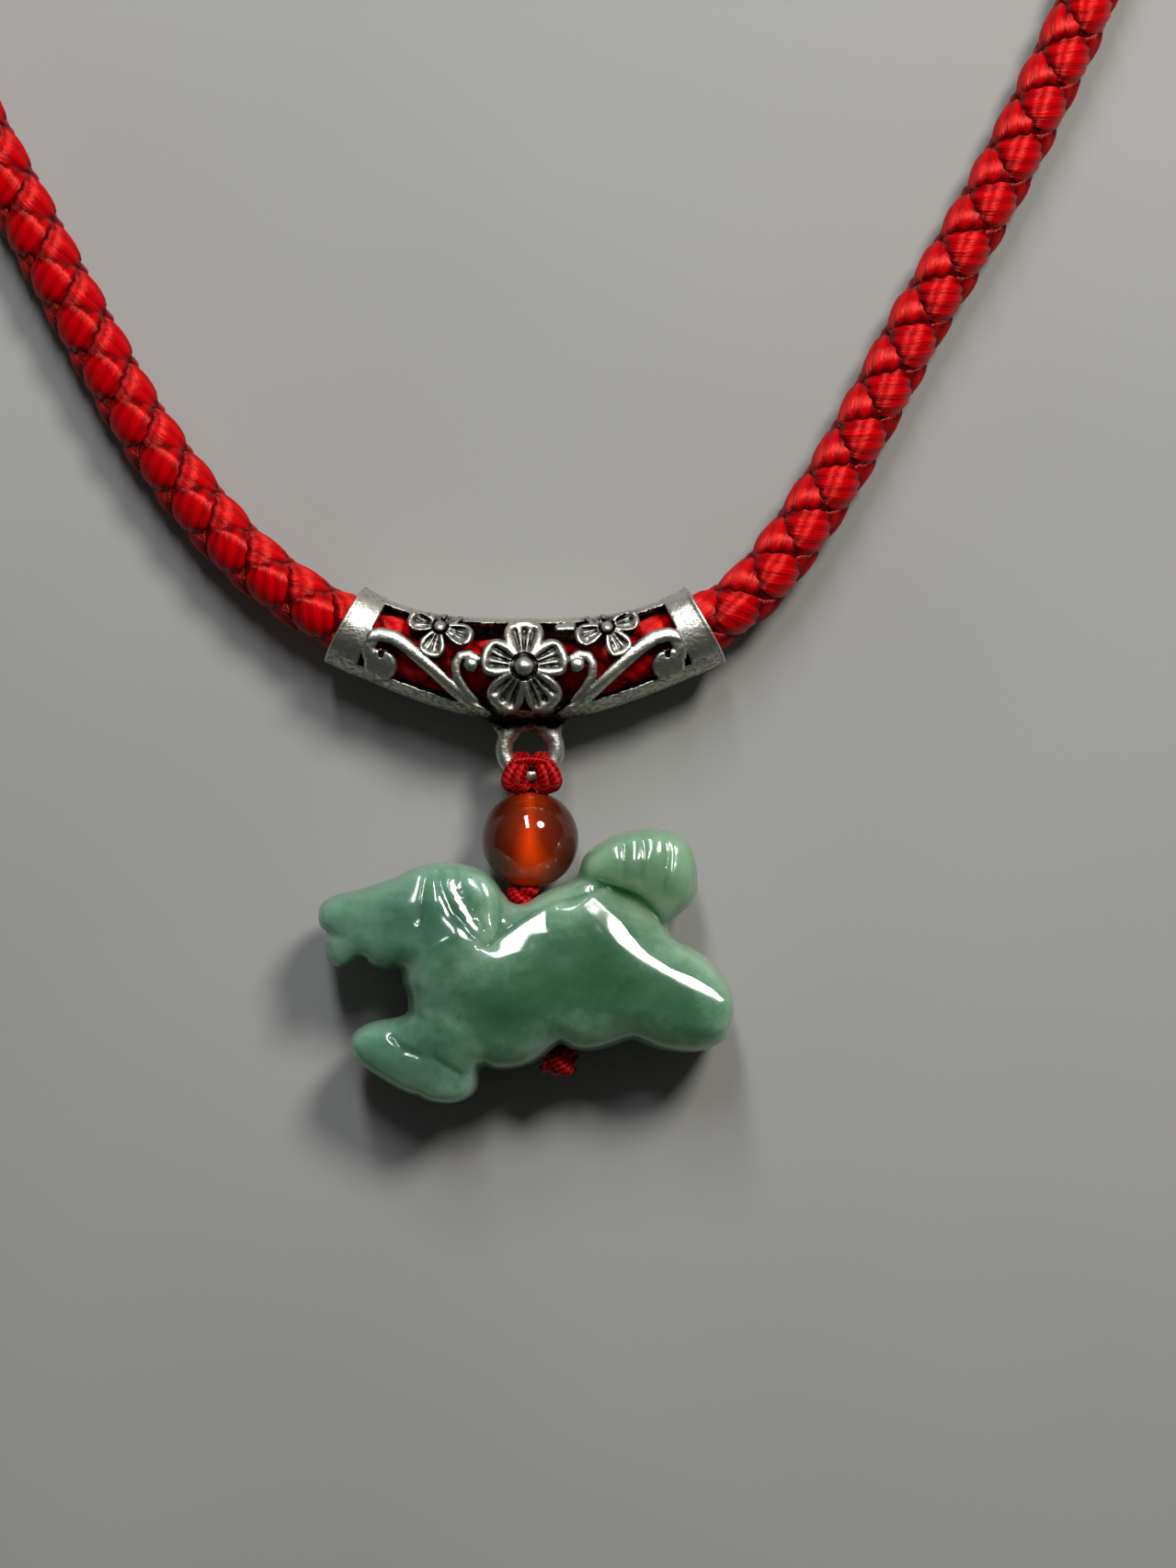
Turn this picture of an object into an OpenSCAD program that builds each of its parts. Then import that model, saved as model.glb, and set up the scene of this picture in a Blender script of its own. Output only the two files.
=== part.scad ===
// Jade animal pendant on a braided red cord: an openwork silver bail, a carnelian bead and a
// carved jade figure, hung on one knotted thread. It lies flat, Y runs up from the figure to
// the bail, and the origin is on the surface under the middle of the bail.

/* [Cord] */
// Diameter of the braided cord
cord_d = 5; // [4.6:0.1:5.2]
// Outer diameter of the clasp
clasp_d = 6.6; // [6.4:0.1:9]
// Length of the clasp
clasp_len = 13; // [11:0.5:20]
// Depth of the blind socket at each end of the clasp
clasp_socket = 4.5; // [3.5:0.5:5]

/* [Bail] */
// Radius of the curve that the tube follows
bail_bend_r = 31; // [30.5:0.1:31.5]
// Length of the tube along its curve
bail_len = 31; // [28:0.5:33]
// Outer diameter of the tube in the middle
bail_mid_d = 8.5; // [8.3:0.1:9.4]
// Outer diameter of the tube beside the end bands
bail_end_d = 7.1; // [6.9:0.1:7.6]
// Wall of the cast tube
bail_wall = 0.6; // [0.5:0.05:0.65]
// Width of the plain band at each end
band_w = 2.5; // [1.5:0.1:3]
// How far a band stands above the tube
band_rise = 0.3; // [0.1:0.05:0.5]
// Width of the rails above and below the openwork
rail_w = 0.9; // [0.7:0.05:1.2]

/* [Flowers and scrolls] */
// Radius of the middle flower
flower_r = 3.7; // [3.2:0.1:3.8]
// Radius of the two small flowers
side_flower_r = 2.3; // [1.9:0.1:2.4]
// Distance of each small flower from the middle, along the tube
side_flower_x = 6.8; // [6.5:0.1:7.2]
// Width of the scroll stems
stem_w = 1.15; // [0.9:0.05:1.3]

/* [Ring] */
// Radius of the hole in the hanging ring
ring_hole_r = 1.45; // [1.4:0.05:1.7]
// Thickness of the ring's round wire
ring_wire_d = 1.4; // [1.2:0.05:1.5]
// Distance from the tube's axis down to the middle of the ring
ring_drop = 6.5; // [6.4:0.1:7]

/* [Thread and bead] */
// Thickness of the hanging thread
thread_d = 1.1; // [0.9:0.05:1.15]
// Thickness of the doubled strands of the hitch on the ring
hitch_d = 1.5; // [1.2:0.05:1.5]
// Diameter of the carnelian bead
bead_d = 8; // [7:0.1:9]
// Diameter of the hole through the bead
bead_hole_d = 1.5; // [1.4:0.05:2]
// Width of the knot under the bead
bead_knot_w = 2.8; // [2.2:0.1:3.2]
// Width of the knot under the figure
end_knot_w = 3.4; // [2.6:0.1:4]

/* [Jade figure] */
// Length from the snout to the haunch
jade_len = 34.4; // [32:0.2:37]
// Height from the forefoot to the tip of the tail
jade_height = 22.9; // [21.5:0.1:24.5]
// Thickness from front to back
jade_thick = 11; // [9.5:0.5:12]
// Diameter of the hole drilled for the thread
jade_hole_d = 1.6; // [1.4:0.05:2]

/* [Hidden] */

// Small gap between a thread and what it passes
gap = 0.1;
overlap = 0.01;

// Bail: heights, angles and radii along the curve
bail_z = bail_mid_d / 2;
half_angle = bail_len / 2 / bail_bend_r * 180 / PI;
band_angle = band_w / bail_bend_r * 180 / PI;
open_angle = half_angle - band_angle - 1.2;
step_angle = 0.6;
shell_sides = 24;
shell_stations = 14;
// Share of the room round a flower that its petals fill
petal_fill = 1.05;

// Place on the flat picture plane, measured along the tube's curve and across it
function bend_angle(x, y) = atan2(x, bail_bend_r - y);
function bend_off(x, y) = norm([x, bail_bend_r - y]) - bail_bend_r;
function bend_point(angle, off, z) =
    [(bail_bend_r + off) * sin(angle), bail_bend_r - (bail_bend_r + off) * cos(angle), z];
function body_r(angle) =
    let (share = min(1, abs(angle) / (half_angle - band_angle)))
    bail_end_d / 2 + (bail_mid_d - bail_end_d) / 2 * (1 + cos(180 * share)) / 2;
function shell_r(angle) =
    abs(angle) > half_angle - band_angle ? bail_end_d / 2 + band_rise : body_r(angle);
function bore_r(angle) =
    abs(angle) > half_angle - band_angle ? bail_end_d / 2 - bail_wall : body_r(angle) - bail_wall;
// Point on the tube's front at a place in the picture plane, lifted off the surface
function on_tube(x, y, lift) =
    let (angle = bend_angle(x, y), off = bend_off(x, y), r = body_r(angle) + lift)
    [x, y, bail_z + sqrt(max(0.2, r * r - off * off))];

// Thread: it hangs from the ring, passes the bead and slants through the figure
thread_x = 0.4;
ring_x = thread_x;
ring_y = -ring_drop;
ring_mean_r = ring_hole_r + ring_wire_d / 2;
ring_bottom = ring_y - ring_hole_r - ring_wire_d;
// The strands squeeze between the ring and the bead
squeeze_gap = 0.6;
squeezed_d = squeeze_gap * 0.75;
bead_z = max(4.05, bead_d / 2);
bead_y = ring_bottom - squeeze_gap - bead_d / 2;
bead_bottom = bead_y - bead_d / 2;
knot_h = 1.3;
knot_top = bead_bottom - gap;
knot_bottom = knot_top - knot_h;
jade_z = jade_thick / 2;
hitch_reach = (ring_wire_d + hitch_d) / 2 + gap;

// Figure: places as shares of its length, height and thickness from the snout and the forefoot
hole_u = 0.503;
hole_top_v = 0.71;
hole_exit_u = 0.593;
hole_exit_v = 0.224;
jade_top_y = knot_bottom - 0.1;
function fig_x(u) = thread_x + (u - hole_u) * jade_len;
function fig_y(v) = jade_top_y + (v - hole_top_v) * jade_height;
function fig_r(share) = share * jade_height;
hole_top = [thread_x, jade_top_y, jade_z];
hole_exit = [fig_x(hole_exit_u), fig_y(hole_exit_v), jade_z];
end_knot_h = 2.3;
end_knot_at = hole_exit + [-0.4, -1.4, 0];
knot_at = [thread_x - 0.5, (knot_top + knot_bottom) / 2, bead_z + 0.3];
knot_gap = 0.35;

// The cord's route from the clasp, down the left side, through the bail and back up, in mm
cord_low = 2.55;
cord_points = [
    [-4.5, 140, 3.3], [-14, 140, 2.8], [-23, 139.6, cord_low], [-33, 137, cord_low],
    [-42, 131, cord_low], [-48.5, 123, cord_low], [-51.5, 113, cord_low], [-52, 102, cord_low],
    [-52, 91, cord_low], [-52, 80, cord_low], [-51.8, 69, cord_low], [-50.4, 58, cord_low],
    [-46.6, 48, cord_low], [-41.5, 38, cord_low], [-36.4, 28.5, cord_low], [-31.3, 19.6, 2.65],
    [-25, 11.4, 3.1], [-19.5, 6.6, 3.8], [-14.6, 3.7, 4.2], [-10.6, 1.9, 4.25],
    [-5.4, 0.5, 4.25], [0, 0, 4.25], [5.4, 0.5, 4.25], [10.6, 1.9, 4.25],
    [14.6, 3.7, 4.2], [19.1, 7, 3.8], [23.5, 12.8, 3.1], [27.6, 19.6, 2.65],
    [32.4, 28.6, cord_low], [38, 38.3, cord_low], [43, 48, cord_low], [47.4, 58, cord_low],
    [50.6, 69, cord_low], [51.8, 80, cord_low], [52, 91, cord_low], [52, 102, cord_low],
    [51.5, 113, cord_low], [48.5, 123, cord_low], [42, 131, cord_low], [33, 137, cord_low],
    [23, 139.6, cord_low], [14, 140, 2.8], [4.5, 140, 3.3]
];
cord_sides = 10;
clasp_y = 140;
clasp_z = clasp_d / 2;
clasp_bore_d = cord_d + 0.5;

// Ring of points round a place on a route, square to the way the route runs there
function way(points, i) =
    let (back = points[max(0, i - 1)], ahead = points[min(len(points) - 1, i + 1)])
    (ahead - back) / norm(ahead - back);
function ring_at(at, along, r, sides) =
    let (side = cross(along, [0, 0, 1]) / norm(cross(along, [0, 0, 1])), up = cross(side, along))
    [for (k = [0:sides - 1])
        let (turn = 90 + 360 * k / sides)
        at + r * (cos(turn) * side + sin(turn) * up)];

// Closed tube swept along a route
module swept_tube(points, d, sides) {
    last = len(points) - 1;
    polyhedron(
        points = [for (i = [0:last]) each ring_at(points[i], way(points, i), d / 2, sides)],
        faces = concat(
            [[for (k = [sides - 1:-1:0]) k]],
            [for (i = [0:last - 1], k = [0:sides - 1])
                [i * sides + k, i * sides + (k + 1) % sides,
                 (i + 1) * sides + (k + 1) % sides, (i + 1) * sides + k]],
            [[for (k = [0:sides - 1]) last * sides + k]]),
        convexity = 8);
}

module braided_cord() {
    color("crimson") swept_tube(cord_points, cord_d, cord_sides);
}

// Plain barrel clasp with a blind socket for the cord at each end
module clasp() {
    color("silver")
    translate([0, clasp_y, clasp_z]) rotate([0, 90, 0])
    difference() {
        cylinder(d = clasp_d, h = clasp_len, center = true, $fn = 48);
        for (end = [-1, 1])
            translate([0, 0, end * (clasp_len / 2 - clasp_socket / 2 + overlap)])
            cylinder(d = clasp_bore_d, h = clasp_socket + overlap * 2, center = true, $fn = 48);
    }
}

// Hollow curved shell: an outer and an inner skin, joined at both ends
module bail_shell() {
    inner_edge = half_angle - band_angle;
    angles = concat(
        [-half_angle, -inner_edge - step_angle / 2],
        [for (i = [0:shell_stations]) inner_edge * (2 * i / shell_stations - 1) * 0.995],
        [inner_edge + step_angle / 2, half_angle]);
    stations = len(angles);
    loop = concat(
        [for (a = angles) [a, shell_r(a)]],
        [for (i = [stations - 1:-1:0]) [angles[i], bore_r(angles[i])]]);
    count = len(loop);
    polyhedron(
        points = [for (s = loop, k = [0:shell_sides - 1])
            let (turn = 360 * k / shell_sides)
            bend_point(s[0], s[1] * sin(turn), bail_z + s[1] * cos(turn))],
        faces = [for (i = [0:count - 1], k = [0:shell_sides - 1])
            let (j = (i + 1) % count, m = (k + 1) % shell_sides)
            [i * shell_sides + k, j * shell_sides + k, j * shell_sides + m, i * shell_sides + m]],
        convexity = 10);
}

// Opening in the front of the tube, between the two rails and the two bands
module front_opening() {
    steps = 12;
    angles = [for (i = [0:steps]) open_angle * (2 * i / steps - 1)];
    upper = [for (a = angles) bend_point(a, rail_w - body_r(a), 0)];
    lower = [for (a = angles) bend_point(a, body_r(a) - rail_w, 0)];
    outline = concat(upper, [for (i = [steps:-1:0]) lower[i]]);
    translate([0, 0, bail_z + 0.9])
    linear_extrude(height = bail_mid_d)
    polygon([for (p = outline) [p[0], p[1]]]);
}

// Rounded wire laid on the tube's front through places given in the picture plane
module laid_wire(places, d, lift) {
    for (i = [0:len(places) - 2])
        hull()
        for (p = [places[i], places[i + 1]])
            translate(on_tube(p[0], p[1], lift)) sphere(d = d, $fn = 6);
}

// Petals round a centre ball; each petal is a bowed leaf that follows the tube's front
module flower(cx, cy, r, petals, ball_d, turn) {
    petal_d = 2 * PI * r * 0.64 / petals * petal_fill;
    for (k = [0:petals - 1]) {
        dir = [cos(turn + 360 * k / petals), sin(turn + 360 * k / petals)];
        hull() {
            root = [cx, cy] + dir * r * 0.28;
            mid = [cx, cy] + dir * r * 0.6;
            tip = [cx, cy] + dir * r * 0.86;
            translate(on_tube(root[0], root[1], -0.1)) sphere(d = petal_d * 0.4, $fn = 6);
            translate(on_tube(mid[0], mid[1], -0.35)) scale([1, 1, 0.6]) sphere(d = petal_d, $fn = 10);
            translate(on_tube(tip[0], tip[1], -0.3)) scale([1, 1, 0.7]) sphere(d = r * 0.3, $fn = 6);
        }
    }
    translate(on_tube(cx, cy, -0.3)) scale([1, 1, 0.55]) sphere(d = r * 0.9, $fn = 8);
    translate(on_tube(cx, cy, 0.35)) sphere(d = ball_d, $fn = 10);
}

// Volute: a wire that winds in to its eye
module volute(cx, cy, r, start, turns, side) {
    steps = 8;
    places = [for (i = [0:steps])
        let (a = start + side * 360 * turns * i / steps, reach = r * (1 - 0.72 * i / steps))
        [cx + reach * cos(a), cy + reach * sin(a)]];
    laid_wire(places, stem_w * 0.72, 0.05);
    translate(on_tube(cx, cy, 0.1)) sphere(d = r * 0.9, $fn = 10);
}

// One half of the scroll work: a stem from the big volute down to the middle, and its branch
module scrolls(side) {
    stem = [[-11.8, 1.6], [-10.9, 2.2], [-9.9, 1.9], [-8.7, 0.9], [-7.2, -0.6], [-5.5, -2.1], [-3.8, -3.2]];
    branch = [[-5.9, -1.7], [-5.5, -0.6], [-4.8, 0.15], [-4.2, 0.2]];
    laid_wire([for (p = stem) [side * p[0], p[1]]], stem_w, 0);
    laid_wire([for (p = branch) [side * p[0], p[1]]], stem_w * 0.8, 0);
    volute(side * -11.7, 0.3, 1.35, 90, 1.15, side);
    translate(on_tube(side * -4.3, 0.35, 0)) sphere(d = 1.5, $fn = 12);
    laid_wire([[side * -11.4, -0.9], [side * -10.9, -1.7]], stem_w * 0.8, -0.25);
    flower(side * -side_flower_x, 3.4, side_flower_r, 5, 0.9, 90);
    laid_wire([[side * -side_flower_x, 3.4], [side * (0.6 - side_flower_x), 4.5]], stem_w * 0.8, -0.5);
}

// Ring under the tube, with a neck that flares into it
module hanging_ring() {
    tube_bottom = -bail_mid_d / 2;
    translate([ring_x, ring_y, bail_z])
    rotate_extrude($fn = 24) translate([ring_mean_r, 0]) circle(d = ring_wire_d, $fn = 12);
    for (side = [-1, 1])
        hull() {
            translate([ring_x + side * ring_mean_r * 0.8, ring_y + ring_mean_r * 0.6, bail_z])
            sphere(d = ring_wire_d, $fn = 10);
            translate([ring_x + side * ring_mean_r * 0.35, ring_y + ring_mean_r * 0.94, bail_z])
            sphere(d = ring_wire_d, $fn = 10);
            translate([ring_x + side * 3, tube_bottom + 0.55, bail_z]) sphere(d = 0.9, $fn = 10);
            translate([ring_x, tube_bottom + 0.35, bail_z]) sphere(d = 0.9, $fn = 10);
        }
}

module bail_tube() {
    color("silver") {
        difference() {
            bail_shell();
            front_opening();
        }
        flower(0, 0.1, flower_r, 5, 1.6, 90);
        for (side = [-1, 1]) scrolls(side);
        hanging_ring();
    }
}

// Thick thread through a list of places
module thread_run(places, d, sides = 8) {
    for (i = [0:len(places) - 2])
        hull()
        for (p = [places[i], places[i + 1]])
            translate(p) sphere(d = d, $fn = sides);
}

// One lobe of the hitch: up in front of the ring's wire, through its hole and down behind
module hitch_lobe(side) {
    front = [
        [side * 0.5, -ring_mean_r - 0.7, hitch_reach - 0.3],
        [side * 1.35, -ring_mean_r - 0.2, hitch_reach],
        [side * 1.5, -ring_mean_r + 0.8, hitch_reach],
        [side * 0.55, -0.25, hitch_reach * 0.7]
    ];
    back = [for (i = [3:-1:0]) [front[i][0], front[i][1], -front[i][2]]];
    translate([ring_x, ring_y, bail_z]) thread_run(concat(front, back), hitch_d, 8);
}

// Knot: a squat ball with a wrap round its waist
module knot(at, w, h) {
    translate(at) {
        scale([w, h, w * 0.85]) sphere(d = 1, $fn = 10);
        for (tilt = [-24, 24])
            rotate([0, 0, tilt]) scale([w * 1.02, h * 0.5, w * 0.9]) sphere(d = 1, $fn = 10);
    }
}

// Room for a knot where it sits against the figure
module knot_pocket(at, w, h) {
    translate(at)
    rotate([4, 3, 8])
    scale([w, h, w] + knot_gap * 2 * [1, 1, 1])
    sphere(d = 1, $fn = 14);
}

module hanging_thread() {
    between = [thread_x, ring_bottom - squeeze_gap / 2, bead_z];
    color("darkred") {
        for (side = [-1, 1]) {
            hitch_lobe(side);
            for (face = [-1, 1])
                thread_run([
                    [ring_x + side * 0.5, ring_y - ring_mean_r - 0.7, bail_z + face * (hitch_reach - 0.3)],
                    between
                ], squeezed_d, 6);
        }
        thread_run([between, between - [0, squeeze_gap + thread_d / 2, 0]], squeezed_d, 6);
        thread_run([
            between - [0, squeeze_gap / 2 + thread_d / 2, 0],
            [thread_x, bead_bottom, bead_z],
            knot_at, hole_top, hole_exit, end_knot_at
        ], thread_d);
        knot(knot_at, bead_knot_w, knot_h);
        knot(end_knot_at, end_knot_w, end_knot_h);
        thread_run([end_knot_at, end_knot_at + [-2, -0.6, -0.6]], thread_d * 0.8);
        thread_run([end_knot_at, end_knot_at + [1.7, -0.7, -0.5]], thread_d * 0.8);
    }
}

module carnelian_bead() {
    color("sienna")
    translate([thread_x, bead_y, bead_z])
    difference() {
        sphere(d = bead_d, $fn = 64);
        rotate([90, 0, 0]) cylinder(d = bead_hole_d, h = bead_d + 1, center = true, $fn = 32);
    }
}

// Limb of the figure between two rounded ends, each [along, up, radius, thickness] as shares;
// turn sets its facets apart from its neighbours'
module limb(a, b, turn) {
    hull()
    for (e = [a, b])
        translate([fig_x(e[0]), fig_y(e[1]), jade_z])
        rotate([0, 0, turn])
        scale([1, 1, e[3] * jade_thick / 2 / fig_r(e[2])])
        sphere(r = fig_r(e[2]), $fn = 18);
}

// Groove carved in the front and the back of the figure along places given as shares
module groove(places, d, depth_z) {
    for (face = [-1, 1], i = [0:len(places) - 2])
        hull()
        for (p = [places[i], places[i + 1]])
            translate([fig_x(p[0]), fig_y(p[1]), jade_z + face * depth_z * jade_thick / 2])
            sphere(d = d, $fn = 8);
}

module jade_figure() {
    // columns: along, up, radius, thickness
    limbs = [
        [[0.467, 0.405, 0.262, 0.96], [0.645, 0.490, 0.276, 1.00]],
        [[0.752, 0.448, 0.204, 0.94], [0.878, 0.366, 0.174, 0.82]],
        [[0.781, 0.801, 0.199, 0.74], [0.745, 0.755, 0.197, 0.74]],
        [[0.745, 0.755, 0.180, 0.74], [0.700, 0.620, 0.165, 0.82]],
        [[0.340, 0.660, 0.207, 0.80], [0.390, 0.470, 0.230, 0.90]],
        [[0.083, 0.640, 0.125, 0.50], [0.310, 0.665, 0.202, 0.80]],
        [[0.110, 0.570, 0.080, 0.44], [0.165, 0.565, 0.072, 0.50]],
        [[0.130, 0.217, 0.092, 0.50], [0.298, 0.122, 0.118, 0.62]],
        [[0.262, 0.232, 0.115, 0.62], [0.430, 0.300, 0.170, 0.84]],
        [[0.868, 0.335, 0.140, 0.72], [0.650, 0.318, 0.122, 0.70]]
    ];
    ear = [[0.268, 0.800, 0.050, 0.70], [0.395, 0.640, 0.090, 0.95]];
    color("seagreen")
    difference() {
        union() {
            for (i = [0:len(limbs) - 1]) limb(limbs[i][0], limbs[i][1], 7 * i);
            limb(ear[0], ear[1], 5);
        }
        // mouth, ear, tail, haunch and feet
        groove([[0.060, 0.545], [0.150, 0.590]], 0.7, 0.42);
        groove([[0.285, 0.790], [0.400, 0.600]], 0.5, 0.86);
        groove([[0.350, 0.760], [0.420, 0.620]], 0.5, 0.84);
        groove([[0.745, 0.945], [0.735, 0.820]], 0.6, 0.64);
        groove([[0.850, 0.940], [0.845, 0.800]], 0.6, 0.62);
        groove([[0.665, 0.790], [0.760, 0.720], [0.840, 0.600]], 0.7, 0.80);
        groove([[0.190, 0.250], [0.250, 0.195]], 0.5, 0.52);
        groove([[0.300, 0.205], [0.365, 0.135]], 0.5, 0.62);
        // hole for the thread
        thread_run([hole_top + (hole_top - hole_exit) * 0.4, hole_top, hole_exit,
            hole_exit + (hole_exit - hole_top) * 0.4], jade_hole_d, 16);
        knot_pocket(knot_at, bead_knot_w, knot_h);
        knot_pocket(end_knot_at, end_knot_w, end_knot_h);
    }
}

braided_cord();
clasp();
bail_tube();
hanging_thread();
carnelian_bead();
jade_figure();
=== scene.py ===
import bpy
import numpy as np
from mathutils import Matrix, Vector


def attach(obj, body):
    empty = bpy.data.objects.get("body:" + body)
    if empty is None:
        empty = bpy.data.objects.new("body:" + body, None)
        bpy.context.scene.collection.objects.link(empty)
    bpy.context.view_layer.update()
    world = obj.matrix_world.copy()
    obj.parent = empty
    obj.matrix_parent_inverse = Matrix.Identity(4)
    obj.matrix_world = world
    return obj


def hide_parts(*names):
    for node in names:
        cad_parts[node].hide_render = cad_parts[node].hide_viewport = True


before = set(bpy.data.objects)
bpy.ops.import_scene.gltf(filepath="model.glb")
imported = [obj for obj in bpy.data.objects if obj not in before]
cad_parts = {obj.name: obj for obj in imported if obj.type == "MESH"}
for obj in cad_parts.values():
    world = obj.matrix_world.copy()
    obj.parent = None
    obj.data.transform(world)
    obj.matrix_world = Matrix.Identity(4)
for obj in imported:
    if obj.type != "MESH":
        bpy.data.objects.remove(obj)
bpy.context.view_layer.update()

MM = 0.001
BODY = "root"
PI = np.pi

# The photograph: its scale and the pixel over the middle of the bail
PHOTO_SIZE = (1279, 1706)
PIXELS_PER_MM = 13.25
BAIL_PIXEL = (571.0, 728.7)

# Camera: lens and sensor, and the height at which a pixel has the photograph's scale, in mm
LENS = 70.0
SENSOR = 36.0
FOCUS_HEIGHT = 5.0

# Studio: the pixel that the lamps are turned to, how far they hang from it in mm, and for each
# its direction, size in mm, watts and colour; half the floor's width in metres
LIT_PIXEL = (600, 900)
LAMP_AWAY = 420
LAMPS = [
    ("round_softbox", (0.41, 0.575, 0.71), (112, 112), 1.35, "#FFFDF8"),
    ("strip_softbox", (-0.115, 0.683, 0.722), (55, 235), 1.0, "#F6FAFF"),
]
FLOOR_HALF = 1.2

# Cord: the route that part.scad gives it, from the clasp round the neck and back, in mm
LOW = 2.55
CORD_POINTS = [
    (-4.5, 140, 3.3), (-14, 140, 2.8), (-23, 139.6, LOW), (-33, 137, LOW),
    (-42, 131, LOW), (-48.5, 123, LOW), (-51.5, 113, LOW), (-52, 102, LOW),
    (-52, 91, LOW), (-52, 80, LOW), (-51.8, 69, LOW), (-50.4, 58, LOW),
    (-46.6, 48, LOW), (-41.5, 38, LOW), (-36.4, 28.5, LOW), (-31.3, 19.6, 2.65),
    (-25, 11.4, 3.1), (-19.5, 6.6, 3.8), (-14.6, 3.7, 4.2), (-10.6, 1.9, 4.25),
    (-5.4, 0.5, 4.25), (0, 0, 4.25), (5.4, 0.5, 4.25), (10.6, 1.9, 4.25),
    (14.6, 3.7, 4.2), (19.1, 7, 3.8), (23.5, 12.8, 3.1), (27.6, 19.6, 2.65),
    (32.4, 28.6, LOW), (38, 38.3, LOW), (43, 48, LOW), (47.4, 58, LOW),
    (50.6, 69, LOW), (51.8, 80, LOW), (52, 91, LOW), (52, 102, LOW),
    (51.5, 113, LOW), (48.5, 123, LOW), (42, 131, LOW), (33, 137, LOW),
    (23, 139.6, LOW), (14, 140, 2.8), (4.5, 140, 3.3),
]

# Braid: four strands, two laid each way, each going over one and under one
BRAID_PITCH = 8.9
STRAND_MEAN_R = 1.09
STRAND_WEAVE = 0.5
STRAND_THICK = 1.0
STRAND_WIDE = 1.82
# A strand spreads where it lies on top and is pinched where it dives; how soon it changes over
STRAND_SPREAD = 0.13
CROSS_OVER = 0.8
# Angle round the cord, from its outer side, where the strands of the first pair lie on top
TOP_COLUMN = np.radians(64)
PLIES = 3
PLY_LAY = 2.28
ROWS_PER_PLY = 4
PLY_SIDES = 16
PLY_GROOVE = 0.1
# Distances from the cord's middle at which a strand is all in shade and all in the light
SHADE_REACH = (1.6, 2.5)

# Clasp barrel
CLASP_AT = (0.0, 140.0, 3.3)
CLASP_R = 3.3
CLASP_LEN = 13.0
SOCKET_R = 2.75
SOCKET_DEEP = 4.5
RIM_EASE = 0.35
SOCKET_EASE = 0.12
# Pin hole that turning leaves on the axis
PIN_R = 0.02

# Bail: an arched tube
BEND_R = 31.0
BAIL_LEN = 31.0
BAIL_Z = 4.25
MID_R = 4.25
END_R = 3.42
BAND_W = 2.5
BAND_RISE = 0.05
WALL = 0.6
TOP_RAIL_W = 0.55
LOW_RAIL_W = 0.95
HALF_ANGLE = BAIL_LEN / 2 / BEND_R
BAND_ANGLE = HALF_ANGLE - BAND_W / BEND_R
# Heights over the tube's middle above which it is pierced, and between which the relief comes up
FRONT_CUT = 0.9
RELIEF_FADE = (0.6, 2.3)
BAIL_TRIANGLES = 190000
# Ridges along the rails and round the tube's ends: height, place from the edge, half width
RAIL_BEAD = (0.12, -0.18, 0.2)
END_LIP = (0.09, 0.15, 0.16)

# Hanging ring, which with its neck lies below a y and runs into the tube with a fillet
RING_AT = (0.4, -6.5, 4.25)
RING_R = 2.15
RING_WIRE_R = 0.7
RING_BELOW = -3.2
RING_FILLET = 0.25
# How far down the neck's rods and the web between them go into the tube
NECK_Y = -3.95
WEB_Y = -4.35

# Bead, thread and the places of its knots
BEAD_AT = (0.4, -13.95, 4.05)
BEAD_R = 4.0
BEAD_HOLE_R = 0.75
BEAD_EASE = 0.22
KNOT_AT = (-0.1, -18.7, 4.35)
HOLE_TOP = (0.4, -19.45, 5.5)
HOLE_EXIT = (3.5, -30.58, 5.5)
END_KNOT_AT = (3.1, -31.98, 5.5)
THREAD_SIDES = 12
THREAD_GROOVE = 0.06
# Turns of the hitch on each side of the ring: how far out each reaches, and its radius
HITCH_TURNS = ((1.72, 0.56), (0.98, 0.54))
# Radius of the thread across the hitch, in the bead, in the figure and at its cut ends
BRIDGE_R = 0.42
IN_BEAD_R = 0.36
IN_FIGURE_R = 0.4
CUT_END_R = (0.6, 0.5)
# Knots: place, half width, half height, radius of the thread in them
KNOTS = ((KNOT_AT, 1.46, 0.76, 0.6), (END_KNOT_AT, 1.3, 0.95, 0.65))

# Jade figure: its middle plane, half its thickness, how far in from its outline the painted light of thin
# edges fades to the stone's full colour, and the drill's radius
JADE_Z = HOLE_TOP[2]
JADE_HALF = 5.5
PAINTED_EDGE_LIGHT_IN = 5.5
DRILL_R = 0.8
# Hollows that the knots sit in: place, half width, half height
KNOT_HOLLOWS = ((KNOT_AT, 1.75, 1.0), (END_KNOT_AT, 2.05, 1.5))


def quick_or(fine):
    """Gives the fine value."""
    return fine


def photo_mm(px, py):
    """Place on the floor, in mm, that a pixel of the photograph looks at."""
    return (px - BAIL_PIXEL[0]) / PIXELS_PER_MM, (BAIL_PIXEL[1] - py) / PIXELS_PER_MM


# Camera, lights and floor

def placed(name, data):
    """Object in the scene for a camera, a light or a mesh."""
    holder = bpy.data.objects.new(name, data)
    bpy.context.collection.objects.link(holder)
    return holder


def look_down():
    """Camera straight above, as far away as the lens needs for the photograph's frame."""
    camera = bpy.data.cameras.new("camera")
    camera.lens = LENS
    camera.sensor_fit = "VERTICAL"
    camera.sensor_height = SENSOR
    camera.clip_start = 0.01
    away = PHOTO_SIZE[1] / PIXELS_PER_MM * LENS / SENSOR
    holder = placed("camera", camera)
    x, y = photo_mm(PHOTO_SIZE[0] / 2, PHOTO_SIZE[1] / 2)
    holder.location = (x * MM, y * MM, (away + FOCUS_HEIGHT) * MM)
    bpy.context.scene.camera = holder


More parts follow.
